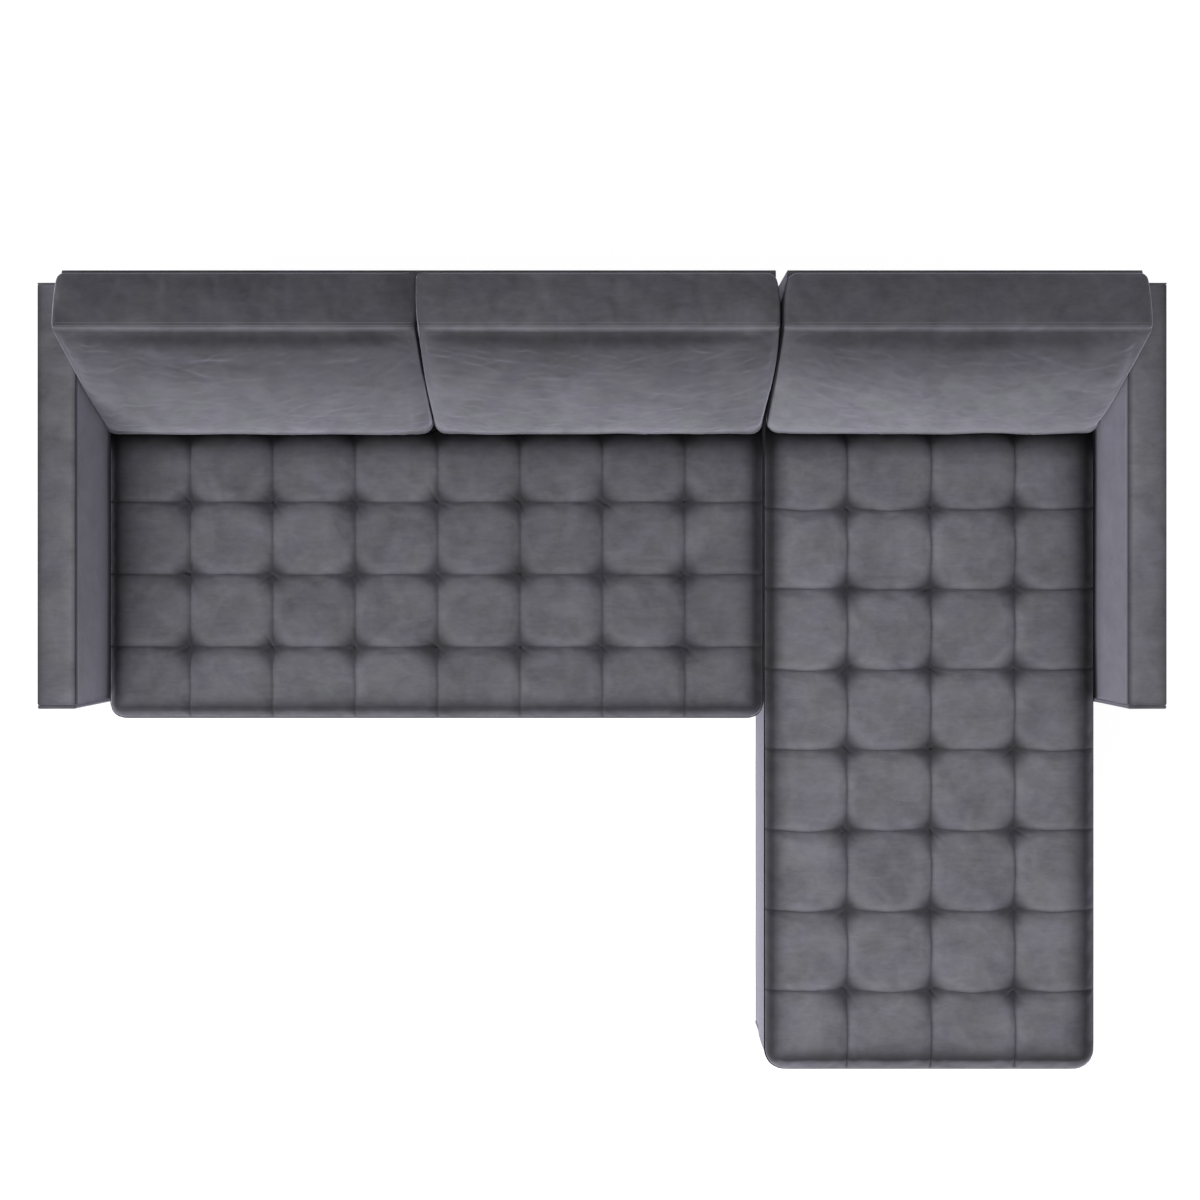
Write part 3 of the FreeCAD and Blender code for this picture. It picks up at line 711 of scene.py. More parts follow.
def velvet_finish():
    """Grey velvet. Its tone comes from how the cloth was brushed and from the painted shade and light on each
    piece. Standing pile shines at a grazing angle, but the sheen is left out where the painted shade is dark."""
    finish, place = new_finish("grey_velvet")
    shade = place.node("ShaderNodeAttribute", {"attribute_name": "shade"}, output=2)
    brushed = place.noise(7.0, detail=3.0, roughness=0.55, distortion=0.9)
    strokes = place.stretched(9, 42, 24).noise(1.0, detail=3.0, roughness=0.6, distortion=1.8)
    fibres = place.noise(1300, detail=2.0, roughness=0.7)
    flecks = place.stretched(60, 120, 100).noise(1.0, detail=3.0, roughness=0.6, distortion=1.2)
    blotches = place.noise(24.0, detail=2.0, distortion=0.6)
    tone = (brushed - 0.5) * 0.85 + (strokes - 0.5) * 0.35 + (blotches - 0.5) * 0.50
    tone = tone + (flecks - 0.5) * 0.28 + (fibres - 0.5) * 0.12 + 1.0
    depth = tone * shade * velvet_middle
    hues = {6: depth.mix(velvet_dark, velvet_slate), 7: depth.mix(velvet_dark, velvet_lilac)}
    patches = place.noise(13.0, detail=2.0).between(0.35, 0.65)
    colour = patches.node("ShaderNodeMix", {"data_type": "RGBA"}, {0: patches, **hues}, output=2)
    pile = (fibres * 0.4 + flecks * 0.6).bump(0.4, 0.0010)
    cloth = {"Base Color": colour, "Roughness": 0.92, "Specular IOR Level": 0.06, "Normal": pile}
    # Without sheen where the painted shade is dark, with sheen elsewhere.
    pressed = place.node("ShaderNodeBsdfPrincipled", None, cloth)
    glow = {"Sheen Weight": 1.0, "Sheen Roughness": 0.46, "Sheen Tint": (0.85, 0.82, 1.0, 1)}
    standing = place.node("ShaderNodeBsdfPrincipled", None, {**cloth, **glow})
    shaders = {0: shade.between(0.1, 0.6), 1: pressed, 2: standing}
    return close_finish(finish, place.node("ShaderNodeMixShader", None, shaders))


def shaded(piece, shade):
    """Writes painted shade and light at each point: 1 is plain, less is painted shade, as in a seam, more is
    painted light.
    """
    attribute = piece.data.attributes.new("shade", "FLOAT", "POINT")
    values = np.broadcast_to(np.asarray(shade, dtype=np.float32), len(piece.data.vertices))
    attribute.data.foreach_set("value", np.ascontiguousarray(values))
    return piece


def velvet_pad(name, body, node, shade=1.0, bend=None, thickness=None, **sizes):
    """A velvet panel over wadding that fills a solid's box, or only its front, and stands for the solid."""
    low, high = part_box(node)
    if thickness:
        high = (high.x, low.y + thickness, high.z)
    points, faces = pad_shape(name, low, high, **sizes)
    if bend:
        points = bend(points)
    if callable(shade):
        shade = shade(points)
    shaded(soft_piece(name, (points, faces), velvet, body, "velvet", node), shade)


velvet = velvet_finish()
base_cover = 0.010
# The base covers carry an even painted shade.
base_painted_shade = 0.60
base_wave = 0.0006
for section in ("sofa", "chaise"):
    body = section + "_section"
    velvet_pad(section + "_base_front", body, section + "_front_cover", shade=base_painted_shade,
               axes="xzy", facing=-1, wave=base_wave)
    low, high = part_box(section + "_side_covers")
    left = pad_shape(section + "_left", low, (low.x + base_cover, high.y, high.z),
                     axes="yzx", facing=-1, wave=base_wave)
    right = pad_shape(section + "_right", (high.x - base_cover, low.y, low.z), high,
                      axes="yzx", wave=base_wave)
    shaded(soft_piece(section + "_base_sides", joined([left, right]), velvet, body, "velvet",
                      section + "_side_covers"), base_painted_shade)


# Back webbing: four bands of 50 mm woven elastic across each back panel, stapled to the posts under tension.
# The inner cover lies on them.

web_width = 0.050
web_count = 4
back_cover = 0.004


def webbing_finish():
    finish, place = new_finish("woven_elastic")
    rib = place.stretched(1, 0.02, 0.02).noise(900, detail=0.0)
    cord = place.stretched(0.02, 0.02, 1).noise(520, detail=0.0)
    weave = rib * 0.6 + cord * 0.4
    colour = weave.between(0.35, 0.65).mix((0.03, 0.03, 0.032), (0.10, 0.095, 0.09))
    return plain_finish(finish, place, colour, 0.85, Normal=weave.bump(0.5, 0.0006))


def rake_of(section):
    """How far a section's back panel goes back for each metre up, and its foot."""
    low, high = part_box(section + "_inner_back_cover")
    return (high.y - back_cover - low.y) / (high.z - low.z), low


def leaning(rake, foot_z):
    """A bend that leans an upright shape back."""
    return lambda points: points + np.outer(rake * np.maximum(0, points[:, 2] - foot_z), (0, 1, 0))


woven_elastic = webbing_finish()
for section in ("sofa", "chaise"):
    rake, foot = rake_of(section)
    low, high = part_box(section + "_back_webbing")
    thickness = high.y - low.y - rake * (high.z - low.z)
    step = (high.z - low.z - web_width) / (web_count - 1)
    bands = []
    for i in range(web_count):
        z = low.z + step * i
        band = pad_shape(section + str(i), (low.x, low.y, z), (high.x, low.y + thickness, z + web_width),
                         axes="xzy", facing=-1, cell=0.03, corner=0.0, roll=0.0008, wave=0.0)
        bands.append((leaning(rake, low.z)(band[0]), band[1]))
    piece = mesh_piece(section + "_elastic_bands", joined(bands), woven_elastic)
    fitted(piece, section + "_section", "webbing", section + "_back_webbing")


# Back panels: a raked inner cover over the webbing, a flat outer cover slip-stitched at the rear, and strips
# that close the top and ends. A thin self piping runs up both ends of the outer cover and along its top.

panel_cell, panel_roll = 0.03, 0.002
panel_piping = 0.0022
strip_thickness = 0.004
top_strip_height = 0.006
edge_tone = 0.9
piping_sides = 10


def vectors(items, key):
    values = np.zeros(len(items) * 3, dtype=np.float32)
    items.foreach_get(key, values)
    return values.reshape(-1, 3).astype(float)


def positions(mesh):
    return vectors(mesh.vertices, "co")


def piping(name, body, run, radius, closed=False, shade=0.25):
    """A cord sewn into a strip of the same velvet along a seam, darkened by painted shade."""
    sizes = {"Radius": radius, "Sides": piping_sides, "Finish": velvet}
    piece = grown(name, [run], tube_along_path, sizes, closed)
    if callable(shade):
        shade = shade(positions(piece.data))
    fitted(shaded(piece, shade), body, "velvet")


def tapered(points, rake, foot_z, front, rear):
    """Narrows an upright strip towards the top, its rear staying plumb."""
    x, y, z = points.T
    lean_front = front + rake * np.maximum(0, z - foot_z)
    depth = rear - front
    y = lean_front + (y - (rear - depth)) / depth * (rear - lean_front)
    return np.stack([x, y, z], axis=1)


for section in ("sofa", "chaise"):
    body = section + "_section"
    rake, foot = rake_of(section)
    panel = {"axes": "xzy", "cell": panel_cell, "roll": panel_roll, "corner": panel_roll}
    velvet_pad(section + "_back_inner_panel", body, section + "_inner_back_cover", thickness=back_cover,
               bend=leaning(rake, foot.z), facing=-1, wave=0.0003, **panel)
    velvet_pad(section + "_back_outer_panel", body, section + "_outer_back_cover", wave=0.0004, **panel)
    low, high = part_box(section + "_outer_back_cover")
    edge = panel_piping
    run = [(low.x + edge, high.y - edge, low.z + edge), (low.x + edge, high.y - edge, high.z - edge),
           (high.x - edge, high.y - edge, high.z - edge), (high.x - edge, high.y - edge, low.z + edge)]
    piping(section + "_back_piping", body, run, edge)
    low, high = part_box(section + "_back_edge_strips")
    strips = []
    for name, x, facing in (("left", low.x, -1), ("right", high.x - strip_thickness, 1)):
        points, faces = pad_shape(section + name, (x, low.y, low.z), (x + strip_thickness, high.y, high.z),
                                  "yzx", facing, panel_cell, roll=0.001, corner=0.0, wave=0.0)
        strips.append((tapered(points, rake, foot.z, low.y, high.y), faces))
    top_front = (low.x, low.y + rake * (high.z - foot.z), high.z - top_strip_height)
    strips.append(pad_shape(section + "top", top_front, high, cell=panel_cell, roll=panel_roll, corner=0.001,
                            wave=0.0002))
    shaded(soft_piece(section + "_back_edges", joined(strips), velvet, body, "velvet",
                      section + "_back_edge_strips"), edge_tone)


# Arms: a timber frame padded on every side and covered in velvet panels joined by plain seams.
# The top panel runs from front to back with a seam along both its long edges.

arm_tone = 0.80
arm_cell = 0.008
arm_wave = 0.0006
# Painted light: how much each arm's top and inner panels are brightened, more on one arm than the other.
arm_top_painted_light = {"left": 1.02, "right": 1.22}
arm_inner_painted_light = {"left": 1.57, "right": 1.48}
outer_turn, inner_seam, seam_painted_light, top_seam = 0.012, 0.0045, 0.026, 0.004
# The painted shadow along the seat on the inner panels: how far below the seat top it starts, how far up it
# reaches.
seat_shadow_start, seat_shadow_reach = 0.018, 0.031
arm_outside = cad_high.x
arm_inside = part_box("right_arm_inner_cover")[0].x
seat_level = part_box("bench_cushion_cover")[1].z


def arm_top_shade(points):
    """Painted shade where the top rolls over the outer edge and along the inner seam, and painted light beside
    that seam.
    """
    x = points[:, 0]
    outer, inner = arm_outside - abs(x), abs(x) - arm_inside
    shade = 1.10 - 0.65 * near(outer, outer_turn, 1) - 0.98 * near(inner, inner_seam)
    shade += 0.24 * near(inner, seam_painted_light)
    return np.where(x > 0, arm_top_painted_light["right"], arm_top_painted_light["left"]) * shade


def arm_inner_shade(points):
    """A painted shadow where the seat cushion meets the inner panel, and painted shade along the seam to the
    top panel.
    """
    above = points[:, 2] - seat_level + seat_shadow_start
    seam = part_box("right_arm_top_cover")[0].z - points[:, 2]
    pressed = 1.26 * near(np.maximum(0, above), seat_shadow_reach, 1.7)
    tone = np.where(points[:, 0] > 0, arm_inner_painted_light["right"], arm_inner_painted_light["left"])
    return tone - pressed - 0.5 * near(seam, top_seam)


for arm, body, towards_seat in (("left_arm", "sofa_section", 1), ("right_arm", "chaise_section", -1)):
    # Each panel's side, axes and facing, the roll of its edge, its crown and its tone, with its painted shade
    # and light.
    panels = (
        ("inner", "yzx", towards_seat, 0.0045, 0.0015, arm_inner_shade),
        ("outer", "yzx", -towards_seat, 0.0045, 0.0010, arm_tone),
        ("front", "xzy", -1, 0.0055, 0.0008, arm_tone),
        ("rear", "xzy", 1, 0.0025, 0.0004, arm_tone),
        ("top", "xyz", 1, 0.0036, 0.0012, arm_top_shade),
    )
    for side, axes, facing, roll, crown, shade in panels:
        velvet_pad(f"{arm}_{side}_panel", body, f"{arm}_{side}_cover", shade=shade, axes=axes, facing=facing,
                   cell=arm_cell, roll=roll, corner=roll, crown=crown, wave=arm_wave)


# Seat cushions: a velvet cover tufted through to the foam in a grid of squares, with a piped seam between the
# top and the boxed edge. The seams pull the cloth down, and most where two of them cross.

# Painted shade at the seam crossings and over the rolled edge, and an even painted shade on the boxed edge.
star_painted_shade, shoulder_painted_shade, boxed_edge_painted_shade = 0.355, 0.27, 0.50
stitch_line = 0.0031
front_darkening_reach = 0.085
shoulder_shade_strength = 0.95
shoulder_across, shoulder_down = 0.032, 0.018
foot_across, foot_down = 0.005, 0.005
seat_play = 0.0003
seat_piping = 0.0026
pillow_cell = 0.0105
seat_levels = 10
seam_gather = 0.66
seam_width, seam_depth = 0.0055, 0.0042
slope_width, slope_depth = 0.034, 0.0054
star_width, star_depth = 0.056, 0.0090
star_power = 0.73
star_edge = 0.012
side_bulge = 0.0012
seat_ripple = 0.0005
sewn_seam, sewn_edge = 0.0006, 0.002
pucker_count, pucker_area, pucker_length, pucker_width, pucker_depth = 8, 0.075, 0.022, 0.0032, 0.0022
# How far the painted shadow along the foot of the back cushions reaches ahead of it and under it.
shadow_ahead, shadow_under = 0.054, 0.035
# Painted shade on the piping, where it touches a neighbour and where it is free.
touching_piping_shade, free_piping_shade = 0.25, 0.04
cloth_frames = 20


def foam_finish():
    finish, place = new_finish("cut_foam")
    cells = place.node("ShaderNodeTexVoronoi", None, {"Vector": place, "Scale": 700.0})
    cloud = place.noise(25, detail=3.0)
    colour = (cells * 0.6 + cloud * 0.4).mix((0.62, 0.56, 0.40), (0.80, 0.75, 0.60))
    return plain_finish(finish, place, colour, 0.95, Normal=cells.bump(0.5, 0.0006))


def directions(mesh):
    """The direction outwards at each point."""
    return vectors(mesh.vertex_normals, "vector")


def place_points(mesh, points):
    mesh.vertices.foreach_set("co", points.astype(np.float32).ravel())
    mesh.update()


def inflate(covers, pressure, slack, limit):
    """Blows closed covers up over their filling as cloth. Held points stay, and the rest move up to limit."""
    for cover in covers:
        cloth = cover.modifiers.new("cloth", "CLOTH")
        cloth.settings.quality = 5
        cloth.settings.vertex_group_mass = "sewn"
        cloth.settings.use_pressure = True
        cloth.settings.uniform_pressure_force = pressure
        cloth.settings.shrink_min = -slack
        cloth.settings.effector_weights.gravity = 0
        cloth.collision_settings.use_collision = False
        cloth.point_cache.frame_start = 1
        cloth.point_cache.frame_end = cloth_frames
    for number in range(1, cloth_frames + 1):
        scene.frame_set(number)
    graph = bpy.context.evaluated_depsgraph_get()
    for cover in covers:
        start = positions(cover.data)
        step = positions(cover.evaluated_get(graph).data) - start
        length = np.linalg.norm(step, axis=1, keepdims=True)
        cover.modifiers.clear()
        place_points(cover.data, start + step * np.minimum(1, limit / np.maximum(length, 1e-9)))
    scene.frame_set(1)


def subdivided(piece):
    finer = piece.modifiers.new("finer", "SUBSURF")
    finer.levels = finer.render_levels = 1
    settled(piece)


def hold(piece, held):
    """Marks the points that stay where they are while the cover is blown up."""
    group = piece.vertex_groups.new(name="sewn")
    group.add([int(i) for i in np.flatnonzero(held)], 1.0, "REPLACE")


def seam_distance(values, seams):
    return np.min([abs(values - seam) for seam in seams], axis=0)


def star(across, along):
    """How near a point is to a crossing of seams, measured so that the pillows keep round corners."""
    return (across**star_power + along**star_power) ** (1 / star_power)


def bow(values, seams, along, stops, most, chance):
    """How far the cloth near each seam is drawn to one side between two crossings."""
    total = np.zeros_like(values)
    for seam in seams:
        beside = near(values - seam, 0.05)
        for start, end in zip(stops, stops[1:]):
            share = unit((along - start) / (end - start))
            total += most * chance.uniform(0.3, 1.4) * np.sin(math.pi * share) ** 2 * beside
    return total


class TuftedSeat:
    """One tufted seat cushion. Columns and rows give where the first seam is, how far apart they are and how
    many. Bows are how far rows and columns curve, and the seam shades are how dark the painted shade along the
    seams of columns and rows is. The tone is the pile's brightness, partly its own and partly painted light."""

    def __init__(self, seat, columns, rows, corner, bows, tone, ink, droop, neighbours, turns):
        self.seat, self.name = seat, seat + "_seat_cushion"
        self.tone, self.ink, self.droop, self.neighbours, self.turns = tone, ink, droop, neighbours, turns
        self.low, self.high = low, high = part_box(seat + "_cushion_cover")
        self.column_seams = [low.x + columns[0] + columns[1] * i for i in range(columns[2])]
        self.row_seams = [low.y + rows[0] + rows[1] * i for i in range(rows[2])]
        xs = grid_lines(low.x, high.x, pillow_cell, shoulder_across, self.column_seams, seam_gather)
        ys = grid_lines(low.y, high.y, pillow_cell, shoulder_across, self.row_seams, seam_gather)
        x, y, share, faces, self.top_ring = block_surface(xs, ys, seat_levels)
        self.to_column, self.to_row = seam_distance(x, self.column_seams), seam_distance(y, self.row_seams)
        chance = dice(self.name + "_seams")
        row_bow = bow(y, self.row_seams, x, [low.x, *self.column_seams, high.x], bows[0], chance)
        column_bow = bow(x, self.column_seams, y, [low.y, *self.row_seams, high.y], bows[1], chance)
        x, y = round_corners(x + column_bow, y - row_bow, low, high, corner)
        inside = edge_distance(x, y, low, high, corner)
        top = high.z - rolled(inside, shoulder_across, shoulder_down)
        bottom = low.z + seat_play + rolled(inside, foot_across, foot_down)
        side = low.z + foot_down + share * (high.z - shoulder_down - low.z - foot_down)
        z = np.where(share == 1, top, np.where(share == 0, bottom, side))
        self.on_top = share == 1
        inset = seat_piping * 0.15 + side_bulge * (1 - np.sin(math.pi * share))
        self.points = np.stack([x, y, z], axis=1)
        middle = np.array([(low.x + high.x) / 2, (low.y + high.y) / 2])
        half = np.array([(high.x - low.x) / 2, (high.y - low.y) / 2])
        self.points[:, :2] = middle + (self.points[:, :2] - middle) * (1 - inset[:, None] / half)
        self.inside = inside
        self.faces = faces

    def build(self):
        piece = mesh_piece(self.name, (self.points, self.faces), velvet)
        narrow = np.minimum(self.to_column, self.to_row)
        crossing = star(self.to_column, self.to_row)
        near_top = unit(self.inside / star_edge) * self.on_top
        pulled = near(crossing, star_width, 3)
        drop = seam_depth * near(narrow, seam_width, 1.4) * (1 - pulled)
        drop += slope_depth * (near(self.to_column, slope_width, 1) + near(self.to_row, slope_width, 1)) / 2
        drop += star_depth * pulled
        place_points(piece.data, self.points - directions(piece.data) * (drop * near_top)[:, None])
        # Painted shade: along the seams, at the crossings, over the rolled edge and where neighbours meet the
        # seat.
        ways = zip(self.ink, (self.to_column, self.to_row))
        lines = [dark * near(away, stitch_line, 1.6) for dark, away in ways]
        stitched = np.maximum(*lines) * (1 - 0.8 * pulled)
        # Darker towards the front.
        darker_to_front = self.droop * near(self.points[:, 1] - self.low.y, front_darkening_reach)
        shade = (1 - stitched) * (1 - darker_to_front) * self.tone
        shade += (star_painted_shade - shade) * pulled
        shade += (shoulder_painted_shade - shade) * self.shoulder()
        shaded(piece, np.where(self.on_top, shade * self.pressed(), boxed_edge_painted_shade))
        hold(piece, ~self.on_top | (narrow < sewn_seam) | (self.inside < sewn_edge))
        self.piece = piece

    def shoulder(self):
        """How much of the painted shade band over the rolled edge there is at each point. Each edge has it at
        its
        own place: the distance of its middle from the edge, and how far it reaches inwards and outwards."""
        x, ahead = self.points[:, 0], self.points[:, 1] - self.low.y
        left, right = x - self.low.x, self.high.x - x
        at_front = unit((np.minimum(left, right) - ahead) / 0.03 + 0.5)[:, None]
        at_side = np.where((left < right)[:, None], self.turns["left"], self.turns["right"])
        middle, inner, outer = (at_side + (np.array(self.turns["front"]) - at_side) * at_front).T
        turn = self.inside - middle
        away = np.where(turn > 0, (abs(turn) / inner) ** 1.7, (turn / outer) ** 2)
        return shoulder_shade_strength * np.exp(-away)

    def piping_shade(self, points):
        """The piping is darkened by painted shade, but less so where it touches the arm or the other seat."""
        beside = np.max([(abs(points[:, 0] - side) < 0.02) & (points[:, 1] > neighbour)
                         for side, neighbour, _, _ in self.neighbours], axis=0)
        return np.where(beside, touching_piping_shade, free_piping_shade)

    def pressed(self):
        """A painted shadow where a back cushion, an arm or the other seat meets this one, darkest
        along the line where the back cushions begin."""
        ahead = back_line - self.points[:, 1]
        shadow_strength = 0.30 + 0.62 * near(np.minimum(0, ahead), shadow_under)
        shade = 1 - shadow_strength * near(np.maximum(0, ahead), shadow_ahead, 2.3)
        for side, neighbour, strength, reach in self.neighbours:
            gap = abs(self.points[:, 0] - side)
            beside = unit((self.points[:, 1] - neighbour) / 0.03)
            shade *= 1 - strength * beside * near(gap, reach, 1.5)
        return shade

    def finish(self):
        body, core_node = self.seat + "_seat", self.seat + "_cushion_core"
        subdivided(self.piece)
        mesh = self.piece.data
        points = positions(mesh)
        normals = directions(mesh)
        chance = dice(self.name)
        lift = ripples(points[:, 0], points[:, 1], chance, 0.09, seat_ripple)
        for seam_x in self.column_seams:
            for seam_y in self.row_seams:
                lift += puckers(points[:, 0] - seam_x, points[:, 1] - seam_y, chance)
        lift *= unit(normals[:, 2]) ** 2
        points += normals * lift[:, None]
        points[:, 2] = np.minimum(points[:, 2], self.high.z)
        place_points(mesh, points)
        piping(self.name + "_piping", body, points[self.top_ring][::2], seat_piping, True, self.piping_shade)
        fitted(self.piece, body, "velvet", self.seat + "_cushion_cover")
        core = pad_shape(self.name, *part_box(core_node), cell=0.05, roll=0.01, wave=0.0)
        soft_piece(self.name + "_foam", core, foam, body, "foam", core_node)


def puckers(x, y, chance):
    """The short folds that run out from one crossing, mostly between the seams."""
    total = np.zeros_like(x)
    area = np.hypot(x, y) < pucker_area
    x, y = x[area], y[area]
    for _ in range(pucker_count):
        angle = math.pi / 2 * chance.integers(4) + math.pi / 4 + chance.normal(0, 0.33)
        start = chance.uniform(0.010, 0.020)
        length = pucker_length * chance.uniform(0.6, 1.6)
        deep = pucker_depth * chance.uniform(0.3, 1.0)
        along = x * math.cos(angle) + y * math.sin(angle) - start
        across = -x * math.sin(angle) + y * math.cos(angle)
        total[area] -= deep * near(across, pucker_width) * near(along, length) * (along > -start)
    return total


foam = foam_finish()
back_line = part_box("left_back_cushion")[0].y + 0.004
arm_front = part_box("left_arm_front_cover")[0].y
bench_low, bench_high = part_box("bench_cushion_cover")
chaise_low, chaise_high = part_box("chaise_cushion_cover")
# What casts painted shadow on the sides of each seat: its place across, where it begins, how much it darkens
# and how far.
bench_sides = ((bench_low.x, arm_front, 0.42, 0.12), (bench_high.x, bench_low.y - 0.1, 0.10, 0.034))
chaise_sides = ((chaise_high.x, arm_front, 0.50, 0.060), (chaise_low.x, bench_low.y, 0.35, 0.022))
seats = [
    TuftedSeat("bench", columns=(0.1895, 0.1948, 7), rows=(0.1670, 0.1712, 4), corner=0.034,
               bows=(0.0016, 0.0012), tone=1.15, ink=(0.46, 0.60), droop=0.0, neighbours=bench_sides,
               turns={"front": (0.020, 0.018, 0.012), "left": (0.016, 0.024, 0.010),
                      "right": (0.018, 0.025, 0.040)}),
    TuftedSeat("chaise", columns=(0.1923, 0.1984, 3), rows=(0.1872, 0.1897, 8), corner=0.046,
               bows=(0.0052, 0.0022), tone=1.49, ink=(0.63, 0.66), droop=0.20, neighbours=chaise_sides,
               turns={"front": (0.025, 0.020, 0.010), "left": (0.013, 0.022, 0.022),
                      "right": (0.023, 0.030, 0.032)}),
]
for seat in seats:
    seat.build()


# Back cushions: three loose wedges of soft fibre in velvet covers, standing on the seats and leaning on the
# panels. Two rows of topstitching hold down the seam between the darker top panel and the front.

back_foot_depth, back_top_depth = 0.231, 0.106
back_top_crown, crown_share = 0.013, 0.6
back_face_crown = 0.024
back_overhang = 0.0115
back_panel_play = 0.0005
back_top_roll, back_foot_roll = 0.009, 0.016
back_foot_corner, back_top_corner, back_rear_corner = 0.030, 0.008, 0.016
back_cell = 0.0095
back_edge_x, back_edge_y = 0.022, 0.016
back_levels = 46
back_gather = 0.6
overhang_start = 0.003
bulge_foot_power, bulge_top_power, bulge_share = 0.55, 0.85, 1.75
back_sewn_edge = 0.004
joined_from, joined_over = 0.93, 0.05
crease_spread = 0.25
# Each kind of crease: how many, how far from the foot and from the top, and their length, width and depth.
face_creases = ((260, 0.02, 0.02, 0.018, 0.0044, 0.0010), (40, 0.05, 0.04, 0.030, 0.0060, 0.0013),
                (12, 0.05, 0.06, 0.075, 0.0140, 0.0014))
# Painted shade and light on the face and top: the shadow band under the seam, the brighter foot and the rim
# highlight.
front_tone, underside_tone, rim_painted_highlight, rim_width = 0.84, 0.9, 0.45, 0.004
shadow_down, shadow_width = 0.045, 0.026
foot_painted_light, foot_reach = 0.55, 0.07
contact_from, contact_over = 0.989, 0.006
face_ripple, top_ripple = 0.0012, 0.0008
crease_edge = 0.02
stitch_rows = (0.0040, 0.0102)
stitch_ends = 0.012
stitch_spacing = 0.0044
stitch_size = (0.0016, 0.00055, 0.00045)
stitch_points = 160


def back_plane(section):
    """Where the front of a section's back panel is at each height."""
    rake, foot = rake_of(section)
    return lambda z: foot.y + rake * (z - foot.z)


def creases(u, v, chance, count, span_u, span_v, length, width, depth, lean):
    """Fine slack folds at about one slope, each a valley with a ridge beside it."""
    total = np.zeros_like(u)
    for _ in range(count):
        share = chance.uniform(0, 1)
        centre_u = span_u[0] + (span_u[1] - span_u[0]) * share
        centre_v = chance.uniform(*span_v)
        angle = lean + crease_spread * (2 * share - 1) + chance.normal(0, 0.28)
        long, wide = length * chance.uniform(0.5, 1.5), width * chance.uniform(0.7, 1.6)
        bend = chance.normal(0, 1.0)
        along = (u - centre_u) * math.cos(angle) + (v - centre_v) * math.sin(angle)
        across = -(u - centre_u) * math.sin(angle) + (v - centre_v) * math.cos(angle) - bend * along**2
        across = across / wide
        deep = depth * chance.uniform(0.4, 1.0)
        total += deep * across * near(across, 1) * near(along, long) * 2.3
    return total


